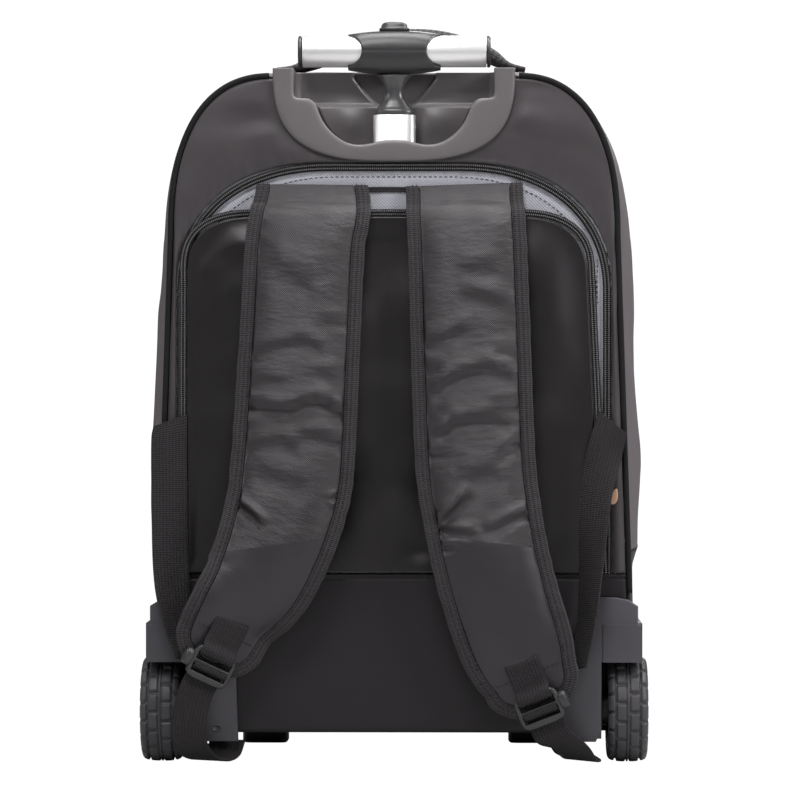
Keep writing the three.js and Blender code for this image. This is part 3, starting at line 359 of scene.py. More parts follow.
def brushedFinish(name, look):
    finish = Finish(name, look["roughness"], {"Metallic": look["metal"]})
    vector = finish.solid()
    streaks = finish.mottle(finish.stretched(vector, look["along"]), 260, 4, 0.7)
    cloud = finish.mottle(vector, 30, 3, 0.5)
    share = streaks * 0.5 + cloud * 0.5
    finish.feed("Base Color", finish.blendColors(share, tinted(look["color"], 0.93),
                                                 tinted(look["color"], 1.05)))
    finish.feed("Roughness", streaks * 0.14 + (look["roughness"] - 0.07))
    finish.bumps((streaks, 0.0001, 0.25))
    return finish.material


def meshFinish(name, look):
    finish = Finish(name, 0.85, {"Sheen Weight": 0.15, "Specular IOR Level": 0.25})
    vector = finish.surface()
    u, v, _ = finish.parts(vector)
    turn = 2 * math.pi / look["pitch"]
    first = ((u + v * 0.58) * turn).wave()
    second = ((u - v * 0.58) * turn).wave()
    holes = (first * second).most(0) ** 0.6
    fuzz = finish.mottle(vector, 1300, 3, 0.7)
    # The holes are real openings in the mesh. Their near-black colour is painted shade inside them, darker
    # than the black cloth around them.
    share = (1 - holes) * 0.8 + fuzz * 0.2
    finish.feed("Base Color", finish.blendColors(share, look["hole"], look["color"]))
    finish.bumps((share, 0.0012, 0.8))
    return finish.material


def rubberFinish(name, look):
    finish = Finish(name, look["roughness"], {"Specular IOR Level": 0.4})
    vector = finish.solid()
    grain = finish.mottle(vector, 900, 4, 0.65)
    dust = finish.mottle(vector, 60, 4, 0.65)
    share = dust * 0.7 + grain * 0.3
    finish.feed("Base Color", finish.blendColors(share, tinted(look["color"], 0.75),
                                                 tinted(look["color"], 1.3)))
    finish.feed("Roughness", dust * 0.2 + (look["roughness"] - 0.1))
    finish.bumps((grain, 0.0003, 0.3))
    return finish.material


finishes = {
    "nylon": wovenFinish("darkNylon", {
        "color": (0.043, 0.0378, 0.0415), "roughness": 0.46, "pitch": 0.0011, "weaveShare": 0.3,
        "relief": 0.25,
        "sheen": 0.0, "gloss": 0.45, "cloudScale": 28}),
    "sideNylon": wovenFinish("mauveNylon", {
        "color": (0.118, 0.104, 0.111), "roughness": 0.6, "pitch": 0.0011, "weaveShare": 0.3, "relief": 0.25,
        "sheen": 0.0, "gloss": 0.25, "cloudScale": 20}),
    "smoothPanel": wovenFinish("coatedCloth", {
        "color": (0.0155, 0.0138, 0.0155), "roughness": 0.5, "pitch": 0.0009, "weaveShare": 0.15,
        "relief": 0.1,
        "sheen": 0.0, "gloss": 0.3, "cloudScale": 14}),
    "flapNylon": wovenFinish("flapNylon", {
        "color": (0.0055, 0.0046, 0.0052), "roughness": 0.36, "pitch": 0.0011, "weaveShare": 0.25,
        "relief": 0.2,
        "sheen": 0.0, "gloss": 0.5, "cloudScale": 22}),
    "padNylon": padFinish("padNylon", {
        "color": (0.0135, 0.0115, 0.013), "lowColor": (0.0135, 0.012, 0.0145), "changeAt": 0.1645,
        "roughness": 0.34, "pitch": 0.0014, "weaveShare": 0.6, "relief": 0.5, "gloss": 0.6,
        "cloudScale": 26}),
    "greyLining": wovenFinish("greyLining", {
        "color": (0.35, 0.35, 0.39), "roughness": 0.75, "pitch": 0.0022, "weaveShare": 0.7, "relief": 0.5,
        "sheen": 0.0, "gloss": 0.2, "cloudScale": 160}),
    "binding": ribbedFinish("edgeBinding", {
        "color": (0.04, 0.037, 0.0395), "roughness": 0.8, "ribPitch": 0.0013, "columnPitch": 0.0032,
        "relief": 1.0}),
    "webbing": ribbedFinish("ribbedWebbing", {
        "color": (0.027, 0.0245, 0.0265), "roughness": 0.75, "ribPitch": 0.0013, "columnPitch": 0.0023,
        "relief": 0.9}),
    "zipTape": ribbedFinish("zipTape", {
        "color": (0.011, 0.0105, 0.011), "roughness": 0.8, "ribPitch": 0.0012, "columnPitch": 0.0012,
        "relief": 0.4}),
    "zipTeeth": mouldedFinish("zipTeeth", {"color": (0.13, 0.125, 0.13), "roughness": 0.3, "gloss": 0.7,
                                           "grain": 0.1}),
    "thread": ribbedFinish("thread", {
        "color": (0.02, 0.019, 0.02), "roughness": 0.7, "ribPitch": 0.0006, "columnPitch": 0.0006,
        "relief": 0.3}),
    "cupPlastic": mouldedFinish("cupPlastic", {
        "color": (0.118, 0.108, 0.112), "roughness": 0.42, "gloss": 0.5, "grain": 0.25}),
    "blackPlastic": mouldedFinish("blackPlastic", {
        "color": (0.03, 0.029, 0.031), "roughness": 0.36, "gloss": 0.5, "grain": 0.12}),
    "glossPlastic": mouldedFinish("glossPlastic", {
        "color": (0.05, 0.048, 0.051), "roughness": 0.26, "gloss": 0.8, "grain": 0.05}),
    "housingPlastic": mouldedFinish("housingPlastic", {
        "color": (0.058, 0.054, 0.064), "roughness": 0.42, "gloss": 0.45, "grain": 0.2}),
    "tyre": rubberFinish("tyreRubber", {"color": (0.05, 0.047, 0.052), "roughness": 0.45}),
    "gripAluminium": brushedFinish("gripAluminium", {
        "color": (0.9, 0.89, 0.89), "roughness": 0.34, "metal": 0.6, "along": (0.05, 1, 1)}),
    "postAluminium": brushedFinish("postAluminium", {
        "color": (0.88, 0.87, 0.88), "roughness": 0.3, "metal": 0.8, "along": (1, 1, 0.04)}),
    "steel": brushedFinish("axleSteel", {
        "color": (0.55, 0.55, 0.56), "roughness": 0.34, "metal": 1.0, "along": (1, 0.1, 0.1)}),
    # The spacer mesh's near-black hole colour is painted shade inside the holes.
    "meshCloth": meshFinish("spacerMesh", {
        "color": (0.06, 0.057, 0.06), "hole": (0.003, 0.003, 0.003), "pitch": 0.0048}),
    "tanLeather": mouldedFinish("tanLeather", {
        "color": (0.52, 0.31, 0.2), "roughness": 0.6, "gloss": 0.3, "grain": 0.8}),
}
print("materials ready:", len(finishes))


# Mesh helpers

def linked(name, mesh):
    piece = bpy.data.objects.new(name, mesh)
    scene.collection.objects.link(piece)
    return piece


def running(points, closed):
    steps = np.linalg.norm(np.roll(points, -1, axis=0) - points, axis=1)
    total = np.concatenate([[0], np.cumsum(steps)])
    return total if closed else total[:-1]


def gridMesh(name, grid, closedAcross=False, closedAlong=False, capped=False, flatUv=False):
    rows, columns = grid.shape[:2]
    i, j = np.meshgrid(np.arange(rows - (not closedAlong)), np.arange(columns - (not closedAcross)),
                       indexing="ij")
    below = (i + 1) % rows
    beside = (j + 1) % columns
    faces = np.stack([i * columns + j, i * columns + beside, below * columns + beside, below * columns + j],
                     -1)
    u = running(grid[rows // 2], closedAcross)
    v = running(grid[:, columns // 2], closedAlong)
    uv = np.stack([np.stack([u[j], v[i]], -1), np.stack([u[j + 1], v[i]], -1),
                   np.stack([u[j + 1], v[i + 1]], -1), np.stack([u[j], v[i + 1]], -1)], 2).reshape(-1, 2)
    faces = faces.reshape(-1, 4).tolist()
    if capped:
        first = list(range(columns))
        last = [(rows - 1) * columns + k for k in range(columns)]
        faces += [first[::-1], last]
        ends = grid[[0] * columns + [-1] * columns, first[::-1] + first][:, [0, 2]]
        uv = np.concatenate([uv, ends])
    mesh = bpy.data.meshes.new(name)
    mesh.from_pydata(grid.reshape(-1, 3).tolist(), [], faces)
    if flatUv:
        uv = grid.reshape(-1, 3)[np.concatenate([np.array(face) for face in faces])][:, [0, 2]]
    mesh.uv_layers.new(name="surface").data.foreach_set("uv", uv.ravel().astype(np.float32))
    mesh.shade_smooth()
    return mesh


def meshVolume(mesh):
    mesh.calc_loop_triangles()
    points = np.empty(len(mesh.vertices) * 3)
    mesh.vertices.foreach_get("co", points)
    corners = np.empty(len(mesh.loop_triangles) * 3, int)
    mesh.loop_triangles.foreach_get("vertices", corners)
    a, b, c = points.reshape(-1, 3)[corners.reshape(-1, 3)].transpose(1, 0, 2)
    return float(np.einsum("ij,ij->i", a, np.cross(b, c)).sum() / 6)


def closedGrid(name, grid, **kinds):
    mesh = gridMesh(name, grid, **kinds)
    if meshVolume(mesh) < 0:
        mesh.flip_normals()
    return linked(name, mesh)


def facing(mesh, direction):
    # A sheet's faces are turned to the side that the direction points to.
    areas = np.zeros(3)
    for polygon in mesh.polygons:
        areas += np.array(polygon.normal) * polygon.area
    if areas @ np.array(direction) < 0:
        mesh.flip_normals()


def settled(piece):
    # The piece's modifiers become its mesh.
    bpy.context.view_layer.update()
    graph = bpy.context.evaluated_depsgraph_get()
    mesh = bpy.data.meshes.new_from_object(piece.evaluated_get(graph))
    piece.modifiers.clear()
    piece.data = mesh
    return piece


def walled(name, grid, thickness, direction, **kinds):
    # A sheet with a wall behind its outer face.
    mesh = gridMesh(name, grid, **kinds)
    facing(mesh, direction)
    piece = linked(name, mesh)
    wall = piece.modifiers.new("wall", "SOLIDIFY")
    wall.thickness = thickness
    wall.offset = -1
    return settled(piece)


def blockFrom(low, high):
    mesh = bpy.data.meshes.new("block")
    corners = [(x, y, z) for x in (low[0], high[0]) for y in (low[1], high[1]) for z in (low[2], high[2])]
    faces = [(0, 1, 3, 2), (4, 6, 7, 5), (0, 4, 5, 1), (2, 3, 7, 6), (0, 2, 6, 4), (1, 5, 7, 3)]
    mesh.from_pydata(corners, [], faces)
    if meshVolume(mesh) < 0:
        mesh.flip_normals()
    return linked("block", mesh)


def cutBy(piece, cutters):
    for cutter in cutters:
        cut = piece.modifiers.new("cut", "BOOLEAN")
        cut.solver = "EXACT"
        cut.object = cutter
    settled(piece)
    for cutter in cutters:
        bpy.data.objects.remove(cutter)
    return piece


def rounded(piece, width, segments=3, angle=30):
    bevel = piece.modifiers.new("edges", "BEVEL")
    bevel.width = width
    bevel.segments = segments
    bevel.limit_method = "ANGLE"
    bevel.angle_limit = math.radians(angle)
    bevel.harden_normals = True
    piece.data.shade_smooth()
    return settled(piece)


def copyOf(node, name):
    # A CAD node's loose triangles, merged into a smooth-shaded piece.
    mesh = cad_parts[node].data.copy()
    piece = linked(name, mesh)
    weld = piece.modifiers.new("weld", "WELD")
    weld.merge_threshold = 0.00001
    settled(piece)
    flat = piece.modifiers.new("flat", "DECIMATE")
    flat.decimate_type = "DISSOLVE"
    flat.angle_limit = math.radians(0.5)
    return settled(piece)


def placed(piece, body, slot, finish, *nodes):
    piece.data.materials.clear()
    piece.data.materials.append(finishes[finish])
    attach(piece, body)
    if nodes:
        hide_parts(*nodes)
    return piece


def smoothStep(low, high, value):
    share = np.clip((value - low) / (high - low), 0, 1)
    return share * share * (3 - 2 * share)


def softNoise(x, y, seed):
    # Smooth noise from -1 to 1 on a wrapped lattice of random values.
    size = 128
    lattice = np.random.default_rng(seed).random((size, size)) * 2 - 1
    i, j = np.floor(x).astype(int), np.floor(y).astype(int)
    s, t = x - i, y - j
    s = s * s * (3 - 2 * s)
    t = t * t * (3 - 2 * t)
    at = lambda a, b: lattice[a % size, b % size]
    low = at(i, j) * (1 - s) + at(i + 1, j) * s
    high = at(i, j + 1) * (1 - s) + at(i + 1, j + 1) * s
    return low * (1 - t) + high * t


def threaded(points, shares):
    # Centripetal curve through chosen points, at shares of its number of spans.
    points = np.asarray(points, float)
    spans = len(points) - 1
    padded = np.vstack([2 * points[0] - points[1], points, 2 * points[-1] - points[-2]])
    result = []
    for share in shares:
        i = min(int(share * spans), spans - 1)
        w = share * spans - i
        p0, p1, p2, p3 = padded[i:i + 4]
        d0, d1, d2 = [max(np.linalg.norm(b - a), 1e-9) ** 0.5 for a, b in ((p0, p1), (p1, p2), (p2, p3))]
        t1 = ((p1 - p0) / d0 - (p2 - p0) / (d0 + d1) + (p2 - p1) / d1) * d1
        t2 = ((p2 - p1) / d1 - (p3 - p1) / (d1 + d2) + (p3 - p2) / d2) * d1
        result.append(p1 + t1 * w + (3 * (p2 - p1) - 2 * t1 - t2) * w ** 2 + (2 * (p1 - p2) + t1 + t2)
                      * w ** 3)
    return np.array(result)


def unit(vectors):
    return vectors / np.linalg.norm(vectors, axis=-1, keepdims=True)


def tangents(points):
    return unit(np.gradient(points, axis=0))


def evenly(points, step):
    # The same open line with its points at an even distance.
    along = np.concatenate([[0], np.cumsum(np.linalg.norm(np.diff(points, axis=0), axis=1))])
    places = np.linspace(0, along[-1], max(2, round(along[-1] / step) + 1))
    return np.stack([np.interp(places, along, points[:, k]) for k in range(points.shape[1])], 1)


def ovalSection(width, thickness, count, power=2.0):
    angles = (np.arange(count) + 0.5) / count * 2 * math.pi
    c, s = np.cos(angles), np.sin(angles)
    return np.stack([width / 2 * np.sign(c) * np.abs(c) ** (2 / power),
                     thickness / 2 * np.sign(s) * np.abs(s) ** (2 / power)], 1)


def swept(name, centres, across, out, sections):
    sections = np.broadcast_to(sections, (len(centres), *np.shape(sections)[-2:]))
    grid = centres[:, None] + across[:, None] * sections[..., :1] + out[:, None] * sections[..., 1:]
    return closedGrid(name, grid, closedAcross=True, capped=True)


def turnedAbout(name, profile, segments, centre, axis="x"):
    # A solid of revolution from a closed profile of [radius, along] rows.
    angles = np.arange(segments) / segments * 2 * math.pi
    profile = np.asarray(profile, float)
    radius, along = profile[:, 0][None], profile[:, 1][None]
    c, s = np.cos(angles)[:, None], np.sin(angles)[:, None]
    if axis == "x":
        grid = np.stack(np.broadcast_arrays(along, radius * c, radius * s), -1)
    else:
        grid = np.stack(np.broadcast_arrays(radius * c, radius * s, along), -1)
    return closedGrid(name, grid + np.array(centre), closedAcross=True, closedAlong=True)


def superQuarter(centreX, centreZ, wide, tall, power, count):
    angles = np.linspace(0, math.pi / 2, count)
    return np.stack([centreX + wide * np.cos(angles) ** (2 / power),
                     centreZ + tall * np.sin(angles) ** (2 / power)], 1)


# Geometry Nodes that set one small shape along a line: teeth and stitches

def beadTree(name):
    tree = bpy.data.node_groups.new(name, "GeometryNodeTree")
    face = tree.interface
    face.new_socket(name="Line", in_out="INPUT", socket_type="NodeSocketGeometry")
    sockets = {}
    for label, kind in (("Spacing", "NodeSocketFloat"), ("Size", "NodeSocketVector"),
                        ("Facing", "NodeSocketVector"), ("Squareness", "NodeSocketFloat"),
                        ("Material", "NodeSocketMaterial")):
        sockets[label] = face.new_socket(name=label, in_out="INPUT", socket_type=kind).identifier
    face.new_socket(name="Beads", in_out="OUTPUT", socket_type="NodeSocketGeometry")
    make = tree.nodes.new
    join = tree.links.new
    given = make("NodeGroupInput")
    curve = make("GeometryNodeMeshToCurve")
    spaced = make("GeometryNodeResampleCurve")
    spaced.mode = "LENGTH"
    tangent = make("GeometryNodeInputTangent")
    upright = make("FunctionNodeAlignRotationToVector")
    upright.axis = "Z"
    along = make("FunctionNodeAlignRotationToVector")
    along.axis = "X"
    along.pivot_axis = "Z"
    ball = make("GeometryNodeMeshUVSphere")
    ball.inputs["Segments"].default_value = 8
    ball.inputs["Rings"].default_value = 6
    ball.inputs["Radius"].default_value = 0.5
    cube = make("GeometryNodeMeshCube")
    pick = make("GeometryNodeSwitch")
    pick.input_type = "GEOMETRY"
    isSquare = make("FunctionNodeCompare")
    isSquare.operation = "GREATER_THAN"
    beads = make("GeometryNodeInstanceOnPoints")
    whole = make("GeometryNodeRealizeInstances")
    shaded = make("GeometryNodeSetMaterial")
    smooth = make("GeometryNodeSetShadeSmooth")
    result = make("NodeGroupOutput")
    join(given.outputs["Line"], curve.inputs["Mesh"])
    join(curve.outputs["Curve"], spaced.inputs["Curve"])
    join(given.outputs["Spacing"], spaced.inputs["Length"])
    join(given.outputs["Facing"], upright.inputs["Vector"])
    join(upright.outputs["Rotation"], along.inputs["Rotation"])
    join(tangent.outputs["Tangent"], along.inputs["Vector"])
    join(given.outputs["Squareness"], isSquare.inputs[0])
    isSquare.inputs[1].default_value = 0.5
    join(isSquare.outputs["Result"], pick.inputs["Switch"])
    join(ball.outputs["Mesh"], pick.inputs["False"])
    join(cube.outputs["Mesh"], pick.inputs["True"])
    join(spaced.outputs["Curve"], beads.inputs["Points"])
    join(pick.outputs["Output"], beads.inputs["Instance"])
    join(along.outputs["Rotation"], beads.inputs["Rotation"])
    join(given.outputs["Size"], beads.inputs["Scale"])
    join(beads.outputs["Instances"], whole.inputs["Geometry"])
    join(whole.outputs["Geometry"], smooth.inputs["Geometry"])
    join(smooth.outputs["Geometry"], shaded.inputs["Geometry"])
    join(given.outputs["Material"], shaded.inputs["Material"])
    join(shaded.outputs["Geometry"], result.inputs["Beads"])
    return tree, sockets


beadGroup, beadSockets = beadTree("beadsAlongLine")


def beadsAlong(name, lines, spacing, size, facing, finish, square=False):
    points = []
    edges = []
    for line in lines:
        start = len(points)
        points += [tuple(point) for point in line]
        edges += [(start + k, start + k + 1) for k in range(len(line) - 1)]
    mesh = bpy.data.meshes.new(name)
    mesh.from_pydata(points, edges, [])
    piece = linked(name, mesh)
    maker = piece.modifiers.new("beads", "NODES")
    maker.node_group = beadGroup
    maker[beadSockets["Spacing"]] = spacing
    maker[beadSockets["Size"]] = size
    maker[beadSockets["Facing"]] = facing
    maker[beadSockets["Squareness"]] = 1.0 if square else 0.0
    maker[beadSockets["Material"]] = finishes[finish]
    return settled(piece)


# Body outline, in metres, seen from the strap side; depths are measured from the plane of the back

body = {"bottom": 0.022, "top": 0.479, "depth": 0.19, "halfTop": 0.1555, "halfBottom": 0.166,
        "cornerWide": 0.072,
        "cornerTall": 0.111, "cornerPower": 2.4, "footRound": 0.028, "sideSeam": 0.149, "backSeam": 0.133,
        "sideBulge": 0.0144, "frontBulge": 0.012, "bandEdge": 0.00335, "panelEdge": 0.00235, "step": 0.003,
        "bulges": [(0, 0), (0.06, 0.28), (0.25, 0.42), (0.278, 0.76), (0.4, 1), (0.6, 0.88), (0.75, 0.82),
                   (0.86, 0.62), (1, 0.5)]}  # height and bulge, both as shares


def inSpace(flat, depth):
    depth = np.broadcast_to(depth, flat.shape[:-1])
    return np.stack([flat[..., 0], backY + depth, flat[..., 1]], -1)


def halfWidthAt(z):
    low = body["bottom"] + body["footRound"]
    high = body["top"] - body["cornerTall"]
    return np.interp(z, [low, high], [body["halfBottom"], body["halfTop"]])


def mirroredHalf(half):
    # A right half from the middle of the bottom to the middle of the top, closed by its mirror.
    return np.vstack([half, (half * (-1, 1))[-2:0:-1]])


def bodyOutline(step):
    low = body["bottom"] + body["footRound"]
    foot = superQuarter(body["halfBottom"] - body["footRound"], 0, body["footRound"], body["footRound"], 2,
                        24)[::-1]
    foot[:, 1] = low - foot[:, 1]
    heights = np.linspace(low, body["top"] - body["cornerTall"], 60)[1:-1]
    side = np.stack([halfWidthAt(heights), heights], 1)
    corner = superQuarter(body["halfTop"] - body["cornerWide"], body["top"] - body["cornerTall"],
                          body["cornerWide"], body["cornerTall"], body["cornerPower"], 60)
    half = np.vstack([[(0, body["bottom"])], foot, side, corner, [(0, body["top"])]])
    return mirroredHalf(evenly(half, step))


def outwards(loop):
    step = np.roll(loop, -1, axis=0) - np.roll(loop, 1, axis=0)
    return unit(np.stack([step[:, 1], -step[:, 0]], 1))


def bulgeAt(z, depthShare):
    heights, bulges = np.array(body["bulges"]).T
    share = (z - body["bottom"]) / (body["top"] - body["bottom"])
    return body["sideBulge"] * np.interp(share, heights, bulges) * np.sin(np.pi * depthShare) ** 0.7


def prism(outline, low, high):
    # A straight block of any outline between two depths, for cutting.
    rings = np.stack([inSpace(outline, low), inSpace(outline, high)])
    return closedGrid("prism", rings, closedAcross=True, capped=True)


def bodyBand(name, run, steps, wall, direction, creases):
    # The cloth band round the bag's sides: its run of outline points, in even steps over the depth.
    flat, normals = run
    depth = np.linspace(0, 1, steps)
    along = running(flat, False)
    u, v = np.meshgrid(along, depth, indexing="ij")
    edge = np.sin(np.pi * v) ** 0.5
    folds = softNoise(u * creases["folds"], v * 2.2 + u * 6, 3) * creases["depth"]
    folds += softNoise(u * creases["folds"] * 2.7, v * 6, 5) * creases["depth"] * 0.4
    offset = bulgeAt(flat[:, 1][:, None], v) + folds * edge
    reach = body["bandEdge"] + v * (body["depth"] - 2 * body["bandEdge"])
    grid = inSpace(flat[:, None] + normals[:, None] * offset[..., None], reach)
    return walled(name, grid, wall, direction)


outline = bodyOutline(body["step"])
outlineNormals = outwards(outline)
insetOutline = outline - outlineNormals * body["panelEdge"]


def runBetween(line, normals, start, above):
    # The points of a closed outline above or below a height, with an end point just at it.
    if not above:
        half = len(line) // 2
        line, normals = np.roll(line, half, axis=0), np.roll(normals, half, axis=0)
    kept = line[:, 1] > start if above else line[:, 1] < start
    flat, facingOut = line[kept], normals[kept]
    side = 1 if above else -1
    ends = np.array([(side * halfWidthAt(start), start), (-side * halfWidthAt(start), start)])
    return np.vstack([ends[:1], flat, ends[1:]]), np.vstack([facingOut[:1], facingOut, facingOut[-1:]])


cup = {"halfWidth": 0.0843, "bottom": 0.419, "armTop": 0.484, "power": 2.9, "flange": 0.00375, "gap": 0.00035,
       "depth": 0.038, "wall": 0.0025, "notchHalf": 0.0696, "notchFloor": 0.463, "bowlHalf": 0.0575,
       "bowlFloor": 0.4298, "bowlPower": 2.3, "postRoom": (0.01505, 0.0092, 0.0268),
       "edge": [(69.6, 484), (69.6, 466.6), (68.9, 464.3), (67, 463.2), (62, 463), (59, 462.5), (56.2, 460.8),
                (53.6, 457), (51.6, 452), (48.6, 446), (43.8, 440), (38.5, 435.6), (33, 432.5), (27.5, 431),
                # the inner edge's right half, in millimetres
                (22, 430.8), (16, 431.7), (8, 433.6), (0, 434)],
       "floor": [(69.6, 484), (69.6, 466.6), (68.9, 464.3), (67, 463.2), (62, 463), (59.5, 462), (57, 459.5),
                 (54.6, 455), (52, 449), (48.6, 443), (43.8, 437.2), (38.5, 433.4), (33, 431), (27.5, 430),
                 (22, 429.8), (16, 429.8), (8, 429.8), (0, 429.8)],
       "profile": [(0, -0.35), (0, -1.5), (0.03, -2.7), (0.1, -3.5), (0.2, -3.75), (0.5, -3.85), (0.82, -3.7),
                   (0.94, -3.2), (1, -2.2)],  # share of the way from the outer to the inner edge, depth in mm
       "ledge": 0.0085, "bulge": 0.0052, "well": 0.005}


def cavityRoom(grow, top):
    floor = cup["notchFloor"] - grow
    bowl = superQuarter(0, 0, cup["bowlHalf"] + grow, cup["notchFloor"] - cup["bowlFloor"],
                        cup["bowlPower"], 30)
    bowl[:, 1] = floor - bowl[:, 1]
    arm = cup["notchHalf"] + grow
    right = np.vstack([[(arm, top), (arm, floor)], bowl])
    return np.vstack([right, (right * (-1, 1))[-2::-1]])


def cupRoom():
    grow = cup["wall"] + cup["gap"]
    return prism(cavityRoom(grow, 0.56), -0.01, cup["depth"] + grow)


def housingRooms():
    return [blockFrom((min(side * 0.13765, side * 0.2), backY - 0.001, -0.01),
                      (max(side * 0.13765, side * 0.2), backY + 0.06985, 0.09885)) for side in (-1, 1)]


seamGap = 0.0002
gussetRun = runBetween(outline, outlineNormals, body["sideSeam"] + seamGap, True)
bootRun = runBetween(outline, outlineNormals, body["sideSeam"] - seamGap, False)
gusset = bodyBand("gusset_cloth", gussetRun, 60, 0.002, (0, 0, 1), {"folds": 16, "depth": 0.0016})
cutBy(gusset, [cupRoom()])
placed(gusset, "bag", "side_nylon", "sideNylon", "gusset")
boot = bodyBand("boot_cloth", bootRun, 60, 0.0025, (0, 0, -1), {"folds": 9, "depth": 0.0012})
cutBy(boot, housingRooms())
placed(boot, "bag", "nylon", "smoothPanel", "bottom_boot")
print("sides of the bag ready")


def ringGrid(loop, centre, sizes):
    # Ever smaller copies of a closed outline, from its edge to its middle.
    return np.array(centre) + (loop - np.array(centre)) * np.asarray(sizes)[:, None, None]


def closedMiddle(grid):
    # The last ring shrinks to one point, so the sheet has no hole at its middle.
    grid[-1] = grid[-1].mean(axis=0)
    return grid


def cuddled(x, z, scale, seed):
    return softNoise(x * scale, z * scale, seed) + 0.4 * softNoise(x * scale * 2.3, z * scale * 2.3, seed + 1)


def frontPanel(look):
    sizes = 1 - np.linspace(0, 1, 60) ** 1.2 * 0.9995
    flat = ringGrid(insetOutline, (0, 0.25), sizes)
    share = sizes[:, None]
    depth = body["depth"] + look["swell"] * (1 - share ** 3)
    depth = depth + cuddled(flat[..., 0], flat[..., 1], 11, 21) * look["folds"] * (1 - share ** 6)
    panel = walled("front_cloth", closedMiddle(inSpace(flat, depth)), 0.002, (0, 1, 0), closedAcross=True,
                   flatUv=True)
    return placed(panel, "bag", "nylon", "nylon", "front_panel")


frontPanel({"swell": 0.0115, "folds": 0.0012})


# The face of the back: upper panel round the arch, lower panel, lining and flap

arch = {"halfWidth": 0.148, "top": 0.4154, "cornerWide": 0.105, "cornerTall": 0.088, "power": 2.25,
        "zipWidth": 0.0056, "liningGrow": 0.0058, "liningBottom": 0.127, "liningDepth": 0.00235}
flap = {"halfWidth": 0.139, "top": 0.3805, "cornerWide": 0.052, "cornerTall": 0.042, "power": 2.6,
        "lean": -0.0055,
        "foot": 0.004, "front": -0.0031, "zipWidth": 0.005, "bottom": 0.1337}


def archLine(grow, bottom, step=0.003):
    halfWidth = arch["halfWidth"] + grow
    corner = superQuarter(halfWidth - arch["cornerWide"], arch["top"] + grow - arch["cornerTall"],
                          arch["cornerWide"], arch["cornerTall"], arch["power"], 60)
    right = np.vstack([[(halfWidth, bottom)], corner, [(0, arch["top"] + grow)]])
    right = evenly(right, step)
    return np.vstack([right, (right * (-1, 1))[-2::-1]])


def flapLine(grow, step=0.003):
    bottom = flap["bottom"]
    tall = flap["top"] - bottom
    corner = superQuarter(flap["halfWidth"] + grow - flap["cornerWide"],
                          flap["top"] + grow - flap["cornerTall"],
                          flap["cornerWide"], flap["cornerTall"], flap["power"], 40)
    foot = flap["halfWidth"] + grow + flap["foot"]
    middle = ((foot + corner[0, 0]) / 2, bottom + tall / 2)
    right = evenly(np.vstack([[(foot, bottom), middle], corner, [(0, flap["top"] + grow)]]), step)
    whole = np.vstack([right, (right * (-1, 1))[-2::-1]])
    whole[:, 0] += flap["lean"] * (whole[:, 1] - bottom) / tall
    return whole


def closedFoot(line, step=0.003):
    # The straight foot that closes an open arch.
    count = max(2, round((line[0, 0] - line[-1, 0]) / step))
    xs = np.linspace(line[-1, 0], line[0, 0], count + 1)[1:-1]
    return np.vstack([line, np.stack([xs, np.full(len(xs), line[0, 1])], 1)])


def cupShare(x, z):
    side = np.abs(x) / cup["halfWidth"]
    down = np.clip((cup["armTop"] - z) / (cup["armTop"] - cup["bottom"]), 0, None)
    return (side ** cup["power"] + down ** cup["power"]) ** (1 / cup["power"])


def resampled(line, count):
    along = running(line, False)
    places = np.linspace(0, along[-1], count)
    return np.stack([np.interp(places, along, line[:, k]) for k in range(2)], 1)


def upperPanel(look):
    low = body["backSeam"] + seamGap
    outer, _ = runBetween(insetOutline, outlineNormals, low, True)
    outer[[0, -1], 0] -= np.array([1, -1]) * body["panelEdge"]
    inner = archLine(arch["zipWidth"] / 2 + cup["gap"], low)
    count = 360
    outer, inner = resampled(outer, count), resampled(inner, count)
    share = np.linspace(0, 1, 34)[:, None]
    flat = inner[None] + (outer - inner)[None] * share[..., None]
    x, z = flat[..., 0], flat[..., 1]
    angle = np.arctan2(x, 0.462 - z)
    nearCup = np.exp(-np.clip(cupShare(x, z) - 1, 0, None) / look["reach"])
    radial = softNoise(angle * 7 + 20, cupShare(x, z) * 1.5, 31) * look["radial"] * nearCup
    puckers = np.sin(running(inner, False)[None] * 2 * np.pi / 0.011 + softNoise(x * 60, z * 60, 33) * 2.5)
    height = look["puff"] * np.sin(np.pi * share) ** 0.8 + radial + cuddled(x, z, 24, 35) * look["folds"]
    risen = np.clip(np.sin(np.pi * share), 0, 1) ** 0.5
    height = height * risen + puckers * look["puckers"] * np.exp(-share / 0.12)
    height = height * smoothStep(1.0, 1.14, cupShare(x, z))
    panel = walled("upper_back_cloth", inSpace(flat, -height), 0.002, (0, -1, 0), flatUv=True)
    cutBy(panel, [cupRoom()])
    return placed(panel, "bag", "nylon", "nylon", "back_panel")


